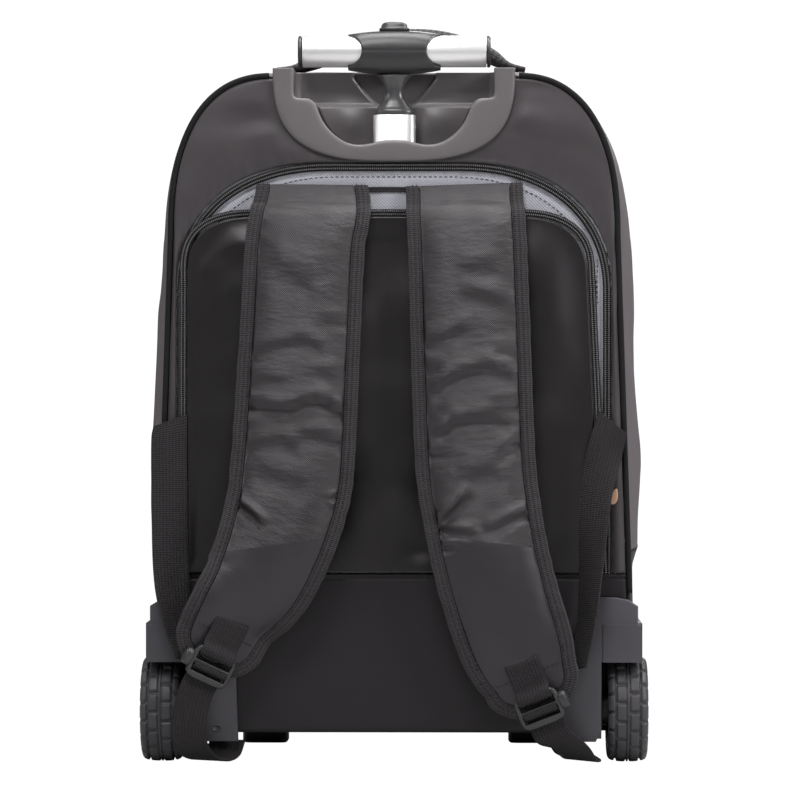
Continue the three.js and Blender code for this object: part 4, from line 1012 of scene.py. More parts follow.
def lowerPanel(look):
    high = body["backSeam"] - seamGap
    heights = np.concatenate([np.linspace(high, high - 0.008, 14)[:-1],
                              np.linspace(high - 0.008, 0.02435, 40),
                              [0.0232, 0.0224, 0.0222]])
    halfWidth = halfWidthAt(heights) - body["panelEdge"]
    flat = np.stack([halfWidth[:, None] * np.linspace(-1, 1, 130)[None],
                     np.broadcast_to(heights[:, None], (len(heights), 130))], -1)
    x, z = flat[..., 0], flat[..., 1]
    seam = high - z
    height = cuddled(x, z, 9, 41) * look["folds"] * smoothStep(0.004, 0.03, seam)
    height += look["roll"] * (np.exp(-((seam - 0.0012) / 0.001) ** 2)
                              - 0.8 * np.exp(-((seam - 0.0036) / 0.0008) ** 2))
    gathers = np.sin(x * 2 * np.pi / 0.009 + softNoise(x * 50, z * 50, 43) * 2)
    height += gathers * look["puckers"] * np.exp(-seam / 0.006)
    height *= smoothStep(0.022, 0.03, z)
    height[-3:] = np.array([-0.0006, -0.002, -0.0028])[:, None]
    panel = walled("lower_back_cloth", inSpace(flat, -height), 0.002, (0, -1, 0), flatUv=True)
    cutBy(panel, housingRooms())
    return placed(panel, "bag", "smooth_panel", "smoothPanel", "lower_back_panel")


def liningCloth(look):
    loop = closedFoot(archLine(arch["liningGrow"], arch["liningBottom"]))
    sizes = 1 - np.linspace(0, 1, 80) ** 1.4 * 0.9995
    flat = ringGrid(loop, (0, 0.24), sizes)
    x, z = flat[..., 0], flat[..., 1]
    share = sizes[:, None]
    inside = smoothStep(1.0, 0.93, share)
    height = inside * (look["puff"] + cuddled(x, z, 38, 51) * look["folds"])
    height -= look["crease"] * np.exp(-((share - look["creaseAt"] - softNoise(x * 12, z * 12,
                                                                              55) * 0.004) / 0.006) ** 2)
    height += inside * np.sin(running(loop, True)[:-1][None] * 2 * np.pi / 0.013) * 0.00015
    grid = closedMiddle(inSpace(flat, arch["liningDepth"] - height))
    lining = walled("lining_cloth", grid, 0.0015, (0, -1, 0), closedAcross=True, flatUv=True)
    return placed(lining, "bag", "grey_lining", "greyLining", "pocket_lining")


def flapCloth(look):
    loop = closedFoot(flapLine(0))
    sizes = 1 - np.linspace(0, 1, 90) ** 1.1 * 0.9995
    flat = ringGrid(loop, (-0.075, 0.25), sizes)
    x, z = flat[..., 0], flat[..., 1]
    share = sizes[:, None]
    inside = smoothStep(1.0, 0.86, share)
    long = softNoise(x * 22 + z * 3, z * 5, 61) + 0.5 * softNoise(x * 46, z * 9, 63)
    belly = look["belly"] * (np.exp(-((z - 0.305) / 0.045) ** 2) - 0.35 * np.exp(-((z - 0.2) / 0.05) ** 2))
    height = inside * (look["puff"] + long * look["long"] + cuddled(x, z, 20, 65) * look["folds"] + belly)
    grid = closedMiddle(inSpace(flat, flap["front"] - height))
    cloth = walled("flap_cloth", grid, 0.0019, (0, -1, 0), closedAcross=True, flatUv=True)
    return placed(cloth, "bag", "nylon", "flapNylon", "strap_flap")


upperPanel({"puff": 0.0011, "radial": 0.0032, "reach": 0.4, "folds": 0.0013, "puckers": 0.0004})
lowerPanel({"folds": 0.0007, "roll": 0.0007, "puckers": 0.00015})
liningCloth({"puff": 0.0009, "folds": 0.0004, "crease": 0.0016, "creaseAt": 0.935})
flapCloth({"puff": 0.0004, "long": 0.0026, "folds": 0.0022, "belly": 0.0045})
print("cloth of the back ready")


# Piping and zips

def roundCord(line, radius, closed, count=12):
    directions = outwards(line) if closed else unit(np.gradient(line, axis=0))
    across = directions if closed else np.stack([directions[:, 1], -directions[:, 0]], 1)
    angles = np.arange(count) / count * 2 * math.pi
    flat = line[:, None] + across[:, None] * (np.cos(angles) * radius)[None, :, None]
    depth = np.broadcast_to(np.sin(angles) * radius, flat.shape[:2])
    grid = np.stack([flat[..., 0], depth, flat[..., 1]], -1)
    return grid


def piping(name, line, depth, closed, node):
    grid = roundCord(line, 0.002, closed)
    ripple = softNoise(np.arange(len(line)) * 0.9, np.zeros(len(line)), 71) * 0.0002
    grid[..., 1] += backY + depth + ripple[:, None]
    kinds = {"closedAlong": True} if closed else {"capped": True}
    cord = closedGrid(name, grid, closedAcross=True, **kinds)
    return placed(cord, "bag", "zip_black", "zipTape", node)


piping("front_piping_cord", outline, body["depth"] - 0.001, True, "front_piping")
for side, name in ((1, "right"), (-1, "left")):
    kept = outline[(outline[:, 0] * side > 0.0852) & (outline[:, 1] > 0.1175)]
    kept = kept[np.argsort(kept[:, 1] - np.abs(kept[:, 0]) * 0.5)]
    piping(f"back_piping_cord_{name}", evenly(kept, 0.003), 0.001, False, f"back_piping_{name}")


def zipTape(name, line, width, centreDepth, node):
    directions = unit(np.gradient(line, axis=0))
    across = np.stack([directions[:, 1], -directions[:, 0]], 1)
    section = np.array([(-0.5, 0.9), (-0.5, -0.15), (-0.3, -0.45), (-0.22, -0.55), (-0.1, -0.2), (0.1, -0.2),
                        # across as a share, depth in mm
                        (0.22, -0.55), (0.3, -0.45), (0.5, -0.15), (0.5, 0.9)])
    flat = line[:, None] + across[:, None] * section[None, :, :1] * width
    depth = np.broadcast_to(backY + centreDepth + section[:, 1] * 0.001, flat.shape[:2])
    grid = np.stack([flat[..., 0], depth, flat[..., 1]], -1)
    tape = closedGrid(name, grid, closedAcross=True, capped=True)
    return placed(tape, "bag", "zip_black", "zipTape", node)


def zipTeeth(name, line, width, depth, look):
    directions = unit(np.gradient(line, axis=0))
    across = np.stack([directions[:, 1], -directions[:, 0]], 1)
    lines = [inSpace(line + across * offset * width, depth) for offset in (-0.22, 0.22)]
    teeth = beadsAlong(name, lines, look["pitch"], look["size"], (0, -1, 0), "zipTeeth")
    return placed(teeth, "bag", "zip_black", "zipTeeth")


tooth = {"pitch": 0.00135, "size": (0.0008, 0.0015, 0.0009)}
backZipLine = archLine(0, body["backSeam"] + cup["gap"])
zipTape("back_zip_tape", backZipLine, arch["zipWidth"], 0.0003, "back_zip")
zipTeeth("back_zip_teeth", backZipLine, arch["zipWidth"], -0.0005, tooth)
flapZipLine = flapLine(0.00285)
zipTape("flap_zip_tape", flapZipLine, flap["zipWidth"], -0.0025, "flap_zip")
zipTeeth("flap_zip_teeth", flapZipLine, flap["zipWidth"], -0.0032, tooth)
print("zips and piping ready")


# Handle cup

def curveHalf(points, count):
    line = threaded(np.array(points) / 1000, np.linspace(0, len(points) - 1, 400) / (len(points) - 1))
    return resampled(line, count)


def cupBackDepth(x, z):
    side = np.abs(x)
    low = smoothStep(0.4625, 0.4585, z)
    behindPost = np.exp(-(x / 0.015) ** 4)
    depth = cup["depth"] - cup["ledge"] * low * (1 - behindPost)
    bulging = ((side - 0.030) / 0.016) ** 2 + ((z - 0.450) / 0.012) ** 2
    depth -= cup["bulge"] * np.exp(-bulging) * (1 - behindPost)
    arc = 0.011 + 0.018 * np.clip((z - 0.461) / 0.019, 0, 1) ** 0.7
    depth += cup["well"] * smoothStep(arc + 0.0012, arc - 0.0012, side) * smoothStep(0.459, 0.4615, z)
    return depth


def handleCup():
    count = 150
    angles = np.linspace(0, math.pi / 2, 400)
    tall = cup["armTop"] - cup["bottom"]
    outer = np.stack([cup["halfWidth"] * np.cos(angles) ** (2 / cup["power"]),
                      cup["armTop"] - tall * np.sin(angles) ** (2 / cup["power"])], 1)
    halves = [resampled(outer, count), curveHalf(cup["edge"], count), curveHalf(cup["floor"], count)]
    outer, edge, floor = [np.vstack([half, (half * (-1, 1))[-2::-1]]) for half in halves]
    profile = threaded(np.array(cup["profile"]), np.linspace(0, 1, 30))
    rows = [inSpace(outer + (edge - outer) * share, depth / 1000) for share, depth in profile]
    for depth in np.linspace(-0.0012, 0.0355, 16):
        share = smoothStep(-0.001, 0.006, depth)
        rows.append(inSpace(edge + (floor - edge) * share, depth))
    top = np.array((0, cup["armTop"]))
    for size in np.concatenate([[0.985, 0.965], 1 - np.linspace(0.05, 1, 70) ** 1.0 * 0.999]):
        flat = top + (floor - top) * size
        rim = smoothStep(1.0, 0.95, np.array(size))
        rows.append(inSpace(flat, 0.0355 + (cupBackDepth(flat[:, 0], flat[:, 1]) - 0.0355) * rim))
    shell = walled("cup_shell", np.array(rows), cup["wall"] - 0.0004, (0, -1, 0))
    room, near, far = cup["postRoom"]
    cutBy(shell, [blockFrom((-room, backY + near, 0.42), (room, backY + far, 0.4325))])
    return placed(shell, "bag", "cup_plastic", "cupPlastic", "handle_cup")


handleCup()
print("handle cup ready")


# Trolley handle

trolley = {"y": backY + 0.018, "grip": 0.497, "gripRadius": 0.011, "gripStart": 0.01385, "gripEnd": 0.0643,
           "capEnd": 0.0673, "postWidth": 0.0295, "postDepth": 0.017, "postBottom": 0.0575,
           "postTop": 0.45245,
           "hubHalf": 0.0323, "hubMouth": 0.0098, "hubTip": 0.012, "hubTop": 0.0148, "hubFoot": 0.0163,
           "hubDepth": 0.0134}


def stacked(name, rows, count, power):
    # Rounded sections stacked upwards: height, width and depth in millimetres.
    grid = []
    for height, width, depth in rows:
        section = ovalSection(width / 1000, depth / 1000, count, power)
        grid.append(np.stack([section[:, 0], trolley["y"] + section[:, 1], np.full(count, height / 1000)], 1))
    return closedGrid(name, np.array(grid), closedAcross=True, capped=True)


def grips():
    radius = trolley["gripRadius"] * 1000
    for side, name in ((1, "right"), (-1, "left")):
        start, end, cap = trolley["gripStart"] * 1000, trolley["gripEnd"] * 1000, trolley["capEnd"] * 1000
        tube = [(0, start), (radius, start), (radius, end - 0.5), (radius - 0.15, end - 0.1),
                (radius - 0.5, end), (0, end)]
        disc = [(0, end + 0.4), (radius - 0.5, end + 0.4), (radius + 0.1, end + 0.7),
                (radius + 0.2, cap - 1.1),
                (radius - 0.3, cap - 0.3), (radius - 1.5, cap), (0, cap)]
        for label, rows, slot, finish in (("tube", tube, "aluminium", "gripAluminium"),
                                          ("cap", disc, "black_plastic", "blackPlastic")):
            profile = [(r / 1000, side * along / 1000) for r, along in rows]
            piece = turnedAbout(f"grip_{label}_body_{name}", profile, 72, (0, trolley["y"], trolley["grip"]))
            piece.data.shade_smooth()
            rounded(piece, 0.00015, 2, 25)
            placed(piece, "handle", slot, finish, f"grip_{label}_{name}")


def hub():
    count = 160
    angles = (np.arange(count) + 0.5) / count * 2 * math.pi
    c, s = np.cos(angles), np.sin(angles)
    c, s = np.sign(c) * np.abs(c) ** (2 / 2.3), np.sign(s) * np.abs(s) ** (2 / 2.3)
    rows = []
    for share in np.concatenate([[-1, -1], np.linspace(-1, 1, 61), [1, 1]]):
        swell = 1 - 0.24 * abs(share) ** 2.4
        up = np.where(s > 0, trolley["hubTop"], trolley["hubFoot"]) * (0.8 + 0.2 * (1 - abs(share) ** 2))
        z = s * np.maximum(up, trolley["hubTip"])
        y = c * trolley["hubDepth"] * (0.86 + 0.14 * swell)
        mouth = trolley["hubMouth"] * np.sqrt(np.clip(1 - (z / 0.0118) ** 2, 0, 1))
        x = share * (trolley["hubHalf"] - mouth)
        groove = 1 - 0.045 * np.exp(-(z / 0.0004) ** 2)
        rows.append(np.stack([x, y * groove, z], 1))
    rows = np.array(rows)
    for end, hold in ((0, 2), (-1, -3)):
        inner = rows[hold].copy()
        radius = np.hypot(inner[:, 1], inner[:, 2])
        inner[:, 1:] *= (0.0112 / radius)[:, None]
        rows[end] = inner
        rows[1 if end == 0 else -2] = rows[hold] + (inner - rows[hold]) * 0.12
    rows += np.array((0, trolley["y"], trolley["grip"]))
    return placed(closedGrid("hub_body", rows, closedAcross=True, capped=True), "handle", "black_plastic",
                  "blackPlastic", "handle_hub")


def neck():
    rows = [(452.8, 27.2, 15.8), (453.2, 27.8, 16.2), (455.4, 27.8, 16.2), (455.8, 27, 15.6),
            (456.1, 26.2, 15.2),
            (457.5, 24.6, 14.8), (460, 20.2, 13.6), (463.5, 15.6, 12), (467, 13.4, 11.3), (470, 13.6, 11.5),
            (473, 15.2, 12.4), (476, 17.8, 13.8), (478.5, 21, 15), (480.2, 24.5, 16.1)]
    line = threaded(np.array(rows), np.linspace(0, 1, 70))
    return placed(stacked("neck_body", line, 72, 2.5), "handle", "black_plastic", "glossPlastic",
                  "handle_neck")


def button():
    rows = [(504.5, 19.4, 11.6), (511.3, 19.4, 11.6), (511.6, 21.2, 12.6), (512.9, 21.2, 12.6),
            (513.3, 20.6, 12.2),
            (513.4, 18.6, 11.2), (515, 18.4, 11), (516.3, 17, 10), (517.2, 14, 8.4), (517.7, 9, 5.6),
            (517.85, 3, 2)]
    return placed(stacked("button_body", rows, 72, 2.8), "button", "black_plastic", "blackPlastic",
                  "release_button")


def post():
    bottom, top = trolley["postBottom"] * 1000, trolley["postTop"] * 1000
    rows = [(bottom, 28.7, 16.2), (bottom + 0.4, 29.5, 17), (top - 0.5, 29.5, 17), (top - 0.1, 29.1, 16.6),
            (top, 28.4, 15.9)]
    bar = stacked("post_bar", rows, 96, 5)
    placed(bar, "handle", "aluminium", "postAluminium", "trolley_post")
    for side, name in ((1, "right"), (-1, "left")):
        profile = [(0, 0.0146), (0.0019, 0.0146), (0.0019, 0.01485), (0.0015, 0.01498), (0, 0.015)]
        profile = [(r, side * along) for r, along in profile]
        rivet = turnedAbout(f"post_rivet_{name}", profile, 24, (0, trolley["y"], 0.4438))
        placed(rivet, "handle", "steel", "steel")


grips()
hub()
neck()
button()
post()
print("trolley handle ready")


# Carrying handle

def grabHandle():
    rows = [(-84, 487.6, 3.4, 34), (-72, 488.6, 5.5, 34), (-59, 493.5, 10, 33.3), (-40, 501.5, 12.6, 32.3),
            (-18, 508, 13, 31.3), (4, 510.3, 13, 31.3), (28, 509.6, 13, 31.3), (50, 504.6, 12.6, 32.3),
            # x, z, thickness and width in mm
            (68, 497.4, 10.5, 33.3), (80, 490.4, 5.5, 34), (92, 487.6, 3.4, 34)]
    line = threaded(np.array(rows) / 1000, np.linspace(0, 1, 110))
    centres = np.stack([line[:, 0], np.full(len(line), backY + 0.066), line[:, 1]], 1)
    along = tangents(centres)
    across = np.broadcast_to((0, 1.0, 0), centres.shape)
    out = unit(np.cross(along, across))
    sections = np.stack([ovalSection(width, thick, 56, 3) for _, _, thick, width in line])
    grab = swept("grab_pad", centres, across, out, sections)
    return placed(grab, "bag", "mesh_cloth", "meshCloth", "grab_handle")


grabHandle()
print("carrying handle ready")


# Shoulder straps: rows of down, across, off, width, thick, lean and twist, near those of the CAD model

strap = {"top": 0.399, "drop": 0.333, "spread": 0.166, "width": 0.084, "thick": 0.015, "off": 0.031,
         "endRound": 0.017, "binding": 0.0095, "bindingThick": 0.0046, "gap": 0.00035, "webWidth": 0.025,
         "webThick": 0.0015, "webOff": 0.03, "buckleHeight": 0.024, "buckleThick": 0.0045,
         "buckleDrop": 0.01955}
strapRows = {
    "left": [(-0.0105, -0.341, 0.03, 0.92, 0.22, 0, 0), (0.027, -0.342, 0.19, 0.97, 0.48, 0, 0),
             (0.048, -0.346, 0.36, 0.99, 0.72, -1, 0), (0.1, -0.365, 0.48, 0.99, 0.95, -2, 0),
             (0.335, -0.391, 0.68, 1, 1, -3, 0), (0.594, -0.422, 0.84, 1.02, 1, -5, 0),
             (0.656, -0.443, 0.9, 1, 1, -12, 0), (0.739, -0.494, 0.98, 0.96, 1, -20, 4),
             (0.817, -0.565, 1, 0.92, 0.95, -29, 12), (0.888, -0.669, 1.02, 0.84, 0.76, -36, 25),
             (0.93, -0.712, 1.02, 0.78, 0.45, -26, 20)],
    "right": [(-0.0105, 0.295, 0.03, 0.97, 0.22, 0, 0), (0.027, 0.298, 0.19, 0.97, 0.48, 0, 0),
              (0.048, 0.3, 0.36, 0.98, 0.72, 0, 0), (0.1, 0.306, 0.48, 0.98, 0.95, 1, 0),
              (0.335, 0.322, 0.68, 0.99, 1, 2, 0), (0.594, 0.345, 0.84, 0.99, 1, 5, 0),
              (0.656, 0.363, 0.9, 0.98, 1, 8, 0), (0.748, 0.395, 0.98, 0.97, 1, 12, 0),
              (0.846, 0.445, 1, 0.96, 0.95, 17, 4), (0.929, 0.499, 1.02, 0.95, 0.85, 21, 8),
              (0.975, 0.534, 1.02, 0.91, 0.7, 25, 10), (1.015, 0.568, 1, 0.82, 0.45, 30, 13)],
}


def turnedVector(vectors, axes, angles):
    # Each vector turned about its own axis.
    c, s = np.cos(angles)[:, None], np.sin(angles)[:, None]
    axes = np.broadcast_to(axes, vectors.shape)
    dots = np.sum(axes * vectors, axis=1, keepdims=True)
    return vectors * c + np.cross(axes, vectors) * s + axes * dots * (1 - c)


def strapFrames(side, shares):
    rows = np.array(strapRows[side])
    down, across, off, width, thick, lean, twist = rows.T
    points = np.stack([across * strap["spread"], -off * strap["off"], strap["top"] - down * strap["drop"]], 1)
    centres = threaded(points, shares)
    ahead = threaded(points, np.minimum(np.array(shares) + 1e-4, 1))
    behind = threaded(points, np.maximum(np.array(shares) - 1e-4, 0))
    along = unit(ahead - behind)
    sizes = threaded(np.stack([width * strap["width"], thick * strap["thick"]], 1) * 1000, shares) / 1000
    turns = threaded(np.stack([lean, twist], 1), shares)
    sign = -1 if side == "left" else 1
    xAxis = np.broadcast_to((1.0, 0, 0), centres.shape)
    acrossLine = turnedVector(xAxis, np.array((0.0, -1, 0)), np.radians(turns[:, 0]))
    acrossLine = unit(acrossLine - along * np.sum(along * acrossLine, axis=1, keepdims=True))
    acrossLine = turnedVector(acrossLine, along, sign * np.radians(turns[:, 1]))
    out = unit(np.cross(acrossLine, along))
    out = np.where(out[:, 1:2] > 0, -out, out)
    centres = centres + np.array((0, backY, 0))
    return {"centre": centres, "along": along, "across": acrossLine, "out": out,
            "width": sizes[:, 0], "thick": sizes[:, 1]}


def withEnd(frames, turns):
    # More sections past the last one, narrowing to a rounded end.
    last = {key: value[-1] for key, value in frames.items()}
    turns = np.radians(turns)
    more = {key: np.repeat(value[-1:], len(turns), axis=0) for key, value in frames.items()}
    more["centre"] = last["centre"] + last["along"] * (strap["endRound"] * np.sin(turns))[:, None]
    whole = {key: np.concatenate([frames[key], more[key]]) for key in frames}
    whole["narrow"] = np.concatenate([np.ones(len(frames["width"])), np.cos(turns)])
    return whole


def strapPad(side):
    frames = withEnd(strapFrames(side, np.linspace(0, 1, 190)), np.linspace(8, 66, 10))
    inset = strap["binding"] + strap["gap"]
    half = (frames["width"] / 2 - inset) * frames["narrow"]
    edge = np.minimum(strap["bindingThick"], frames["thick"]) * 0.42
    crown = frames["thick"] / 2 - edge
    a = np.sin(np.linspace(-1, 1, 44) * np.pi / 2)
    b = np.sin(np.linspace(1, -1, 20) * np.pi / 2)
    outer = edge[:, None] + crown[:, None] * (1 - np.abs(a) ** 3)
    inner = -edge[:, None] - crown[:, None] * (1 - np.abs(b) ** 3)
    calmed = np.minimum(1, crown[:, None] / 0.0016 * (1 - np.abs(a) ** 10))
    outer = outer + creasesOn(side, frames, a) * calmed
    across = np.concatenate([np.broadcast_to(a, outer.shape), np.broadcast_to(b, inner.shape)], 1)
    wide = across * half[:, None]
    tall = np.concatenate([outer, inner], 1)
    pad = swept(f"strap_cushion_{side}", frames["centre"], frames["across"], frames["out"],
                np.stack([wide, tall], -1))
    placed(pad, "bag", "pad_nylon", "padNylon", f"strap_pad_{side}")


# Folds in the pads: the line of each as (millimetres down the strap, share of the pad's half width),
# then how wide and how deep it is, in millimetres. The cloth above a fold hangs over it.
foldRows = {
    "left": [
        ([(97, 0.45), (97, 1)], 2.6, 0.9), ([(121, -1), (115, -0.42), (111, 0), (117, 0.5)], 4, 0.8),
        ([(133, 0.3), (132, 1)], 2.4, 0.9), ([(140, -1), (141, -0.3)], 3, 0.8),
        ([(156, -1), (158.5, -0.1), (151.5, 0.38), (154, 0.66), (160, 1)], 3.4, 2.1),
        ([(176, 0.12), (176, 0.54), (180, 1)], 2.8, 1.7), ([(170, -1), (170.5, -0.75)], 2.4, 0.9),
        ([(186, -1), (181, -0.3), (186, 0.1)], 4.5, 0.8), ([(233, -1), (238, -0.67), (243, -0.42)], 2.6, 1.5),
        ([(215, 1), (217, 0.83)], 1.8, 0.8), ([(220, 1), (220, 0.85)], 1.8, 0.7),
        ([(205, -0.7), (210, 0.3)], 7, 0.5), ([(63, -0.6), (70, 0.2)], 8, 0.5)],
    "right": [
        ([(111, -1), (108, -0.53), (103, -0.05)], 3.4, 1.1), ([(101, 1), (100, 0.72)], 2.4, 0.9),
        ([(127, -1), (127, -0.64)], 2.6, 1.1), ([(119, 0.5), (120, 1)], 3, 1),
        ([(145, -0.8), (138, -0.51), (133, -0.15), (131, 0.37), (134, 0.85)], 3.8, 1.6),
        ([(158, -1), (158, -0.5)], 2.4, 1.7), ([(157, 0.3), (154, 1)], 2.8, 1.3),
        ([(176, -0.84), (168, -0.44), (164, -0.02), (167, 0.75)], 3.6, 1.7),
        ([(186, -1), (186, -0.62)], 2.4, 1.7),
        ([(191, 0.5), (186, 0.77), (181, 1)], 3.2, 1.2), ([(233, -1), (225, -0.61), (217, -0.25)], 3, 1.3),
        ([(237, -0.95), (242, -0.3)], 2.6, 1), ([(244, 0.05), (239, 0.53), (235, 1)], 3.4, 0.9),
        ([(249, -1), (249, -0.68)], 2, 1), ([(78, -0.2), (82, 0.37), (89, 1)], 4.5, 0.8),
        ([(205, -0.3), (200, 0.5)], 7, 0.5), ([(60, 0.6), (64, -0.2)], 6, 0.5)],
}


def creasesOn(side, frames, a):
    down = running(frames["centre"], False)[:, None] * 1000
    half = (frames["width"] / 2 - strap["binding"])[:, None] * 1000
    a = np.broadcast_to(a, (len(down), len(a)))
    height = np.zeros(a.shape)
    for line, width, depth in foldRows[side]:
        places = np.array(sorted((across, along) for along, across in line))
        wander = softNoise(a * 3, down * 0.02, int(line[0][0])) * 0.8
        middle = np.interp(a, places[:, 0], places[:, 1]) + wander
        slope = (places[-1, 1] - places[0, 1]) / ((places[-1, 0] - places[0, 0]) * half)
        away = (down - middle) / np.sqrt(1 + slope ** 2) / width
        fade = 0.16
        reach = np.where(places[0, 0] < -0.85, 1, smoothStep(places[0, 0] - fade, places[0, 0] + fade, a))
        reach = reach * np.where(places[-1, 0] > 0.85, 1, smoothStep(places[-1, 0] + fade,
                                                                     places[-1, 0] - fade, a))
        height -= depth * 3.6 * away * np.exp(-0.5 * away ** 2) * reach
    lumps = softNoise(a * 1.6, down / 26, 81) * 0.8 + softNoise(a * 4 + down / 30, down / 9, 83) * 0.25
    nearEdge = np.exp(-(1 - np.abs(a)) / 0.12)
    lumps += nearEdge * softNoise(a * 2, down / 4.2, 85) * 0.4
    calm = smoothStep(10, 40, down)
    return (height + lumps) * calm / 1000


def strapBinding(side):
    frames = strapFrames(side, np.linspace(0, 1, 240))
    inset = strap["binding"] / 2
    places = [(index, -1.0, 0.0) for index in range(240)]
    places += [(239, -math.cos(turn), math.sin(turn)) for turn in np.radians(np.linspace(8, 172, 34))]
    places += [(index, 1.0, 0.0) for index in range(239, -1, -1)]
    centres, acrossLine, outLine, sections = [], [], [], []
    for index, sideways, downward in places:
        across, along = frames["across"][index], frames["along"][index]
        centre = frames["centre"][index] + across * sideways * (frames["width"][index] / 2 - inset)
        centres.append(centre + along * downward * (strap["endRound"] + inset))
        acrossLine.append(unit(across * sideways + along * downward))
        outLine.append(frames["out"][index])
        thick = min(strap["bindingThick"], frames["thick"][index] + 0.0006)
        sections.append(ovalSection(strap["binding"], thick, 20, 5))
    centres, acrossLine, outLine = np.array(centres), np.array(acrossLine), np.array(outLine)
    sections = np.array(sections)
    distance = running(centres, False)[:, None]
    ripple = softNoise(distance / 0.0052, sections[:, :, 0] * 260, 91)
    sections[:, :, 1] *= 1 + 0.16 * ripple
    sections[:, :, 0] += softNoise(distance / 0.007, distance * 0, 93) * 0.0003 * (sections[:, :, 0] > 0)
    band = swept(f"edge_binding_{side}", centres, acrossLine, outLine, sections)
    placed(band, "bag", "binding", "binding", f"strap_binding_{side}")
    for label, offset in (("inner", -0.3), ("middle", 0.02)):
        lift = sections[:, :, 1].max(axis=1) - 0.00005
        line = centres + acrossLine * (strap["binding"] * offset) + outLine * lift[:, None]
        stitches = beadsAlong(f"binding_{label}_stitches_{side}", [line], 0.0034, (0.0022, 0.0005, 0.0005),
                              (0, -1, 0), "thread")
        placed(stitches, "bag", "binding", "thread")


for side in ("left", "right"):
    strapPad(side)
    strapBinding(side)
print("shoulder straps ready")


# Buckles and webbing: rows of across, off, height, lean and turn, near those of the CAD model

webRows = {
    "left": [(-0.935, 0.155, 0.6, 20, 0), (-0.94, 0.17, 0.575, 8, 0), (-0.938, 0.22, 0.46, 0, 0),
             (-0.93, 0.32, 0.34, 0, 10), (-0.9, 0.62, 0.24, -4, 50), (-0.845, 0.78, 0.185, -12, 40)],
    "right": [(0.915, 0.155, 0.597, -40, 0), (0.885, 0.17, 0.55, -26, 0), (0.84, 0.22, 0.47, -6, -22),
              (0.822, 0.42, 0.34, 0, -52), (0.8, 0.64, 0.24, 4, -62), (0.755, 0.84, 0.17, 20, -50)],
}
loopRows = {
    "left": [(-0.85, 0.94, 0.06, -10, 0), (-0.815, 0.66, 0.021, -3, 0), (-0.76, 0.4, 0.011, -3, 0),
             (-0.72, 0.06, 0.018, -3, 0), (-0.7, -0.24, 0.04, 0, 0)],
    "right": [(0.735, 0.86, 0.036, 2, 0), (0.775, 0.5, 0.014, -6, 0), (0.79, 0.16, 0.012, -4, 0),
              (0.745, -0.16, 0.022, 0, 0), (0.72, -0.34, 0.04, 0, 0)],
}
# down and out, in shares
threadRows = [(0, 1.02), (0.13, 0.98), (0.196, 0), (0.263, -1), (0.4, -1.09), (0.86, -1.09)]
anchorRows = [(-15.5, 4.6), (-13.4, 6.2), (-9, 6.4), (-2, 6.3), (4.2, 6.6), (6.6, 8.8), (8.4, 10.6),
              (11.2, 10.9),
              # along and out from the strap's end, in mm
              (13.4, 9.9), (14.1, 7.4), (13.4, 4.7), (10.7, 4.4), (8.7, 4.4)]


def strapEnd(side):
    frames = strapFrames(side, [0.9999, 1.0])
    return {key: value[-1] for key, value in frames.items()}


def buckleCentre(side):
    end = strapEnd(side)
    lift = strap["bindingThick"] / 2 + strap["webThick"] + 2 * strap["gap"] + 0.0006
    return end["centre"] + end["along"] * strap["buckleDrop"] + end["out"] * (lift + strap["buckleThick"] / 2)


def flatWeb(name, points, widths, width, thickness, steps, node=None):
    shares = np.linspace(0, 1, steps)
    centres = threaded(points, shares)
    along = tangents(centres)
    across = unit(threaded(widths, shares))
    out = unit(np.cross(across, along))
    section = np.array([(0.5, 0.25), (0.46, 0.5), (-0.46, 0.5), (-0.5, 0.25), (-0.5, -0.25), (-0.46, -0.5),
                        (0.46, -0.5),
                        (0.5, -0.25)])
    dense = []
    for k in range(8):
        dense += [section[k] + (section[(k + 1) % 8] - section[k]) * t for t in np.linspace(0, 1,
                                                                                            12
                                                                                            if k in (1, 5)
                                                                                            else 2,
                                                                                          endpoint=False)]
    section = np.array(dense) * (width, thickness)
    strip = swept(name, centres, across, out, section)
    return placed(strip, "bag", "webbing", "webbing", *([node] if node else []))


def webbing(side):
    width, thickness = strap["webWidth"], strap["webThick"]

    def bends(rows):
        rows = np.array(rows)
        points = np.stack([rows[:, 0] * strap["spread"], backY - rows[:, 1] * strap["webOff"],
                           rows[:, 2] * strap["top"]], 1)
        lean, turn = np.radians(rows[:, 3]), np.radians(rows[:, 4])
        return points, np.stack([np.cos(lean) * np.cos(turn), np.sin(turn), np.sin(lean) * np.cos(turn)], 1)

    points, widths = bends(webRows[side])
    flatWeb(f"adjuster_strip_{side}", points, widths, width, thickness, 120, f"adjuster_web_{side}")
    end = strapEnd(side)
    centre = buckleCentre(side)
    off = strap["buckleThick"] / 2 + strap["gap"] + thickness / 2
    threadedPoints = [centre + end["along"] * down * strap["buckleHeight"] + end["out"] * out * off
                      for down, out in threadRows]
    points, widths = bends(loopRows[side])
    flatWeb(f"adjuster_tail_{side}", np.vstack([threadedPoints, points]),
            np.vstack([np.repeat(end["across"][None], len(threadRows), axis=0), widths]),
            width, thickness, 200, f"adjuster_loop_{side}")
    anchor = np.array([end["centre"] + end["along"] * along / 1000 + end["out"] * out / 1000 for along,
                       out in anchorRows])
    flatWeb(f"anchor_strip_{side}", anchor, np.repeat(end["across"][None], len(anchor), axis=0),
            width, thickness * 0.8, 60, f"anchor_web_{side}")
    sewn = end["centre"] - end["along"] * 0.0125 + end["out"] * 0.0069
    line = sewn + end["across"] * np.linspace(-0.011, 0.011, 12)[:, None]
    stitches = beadsAlong(f"anchor_stitches_{side}", [line, line + end["along"] * 0.003], 0.0026,
                          (0.0018, 0.0005, 0.0005), (0, -1, 0), "thread")
    placed(stitches, "bag", "webbing", "thread")


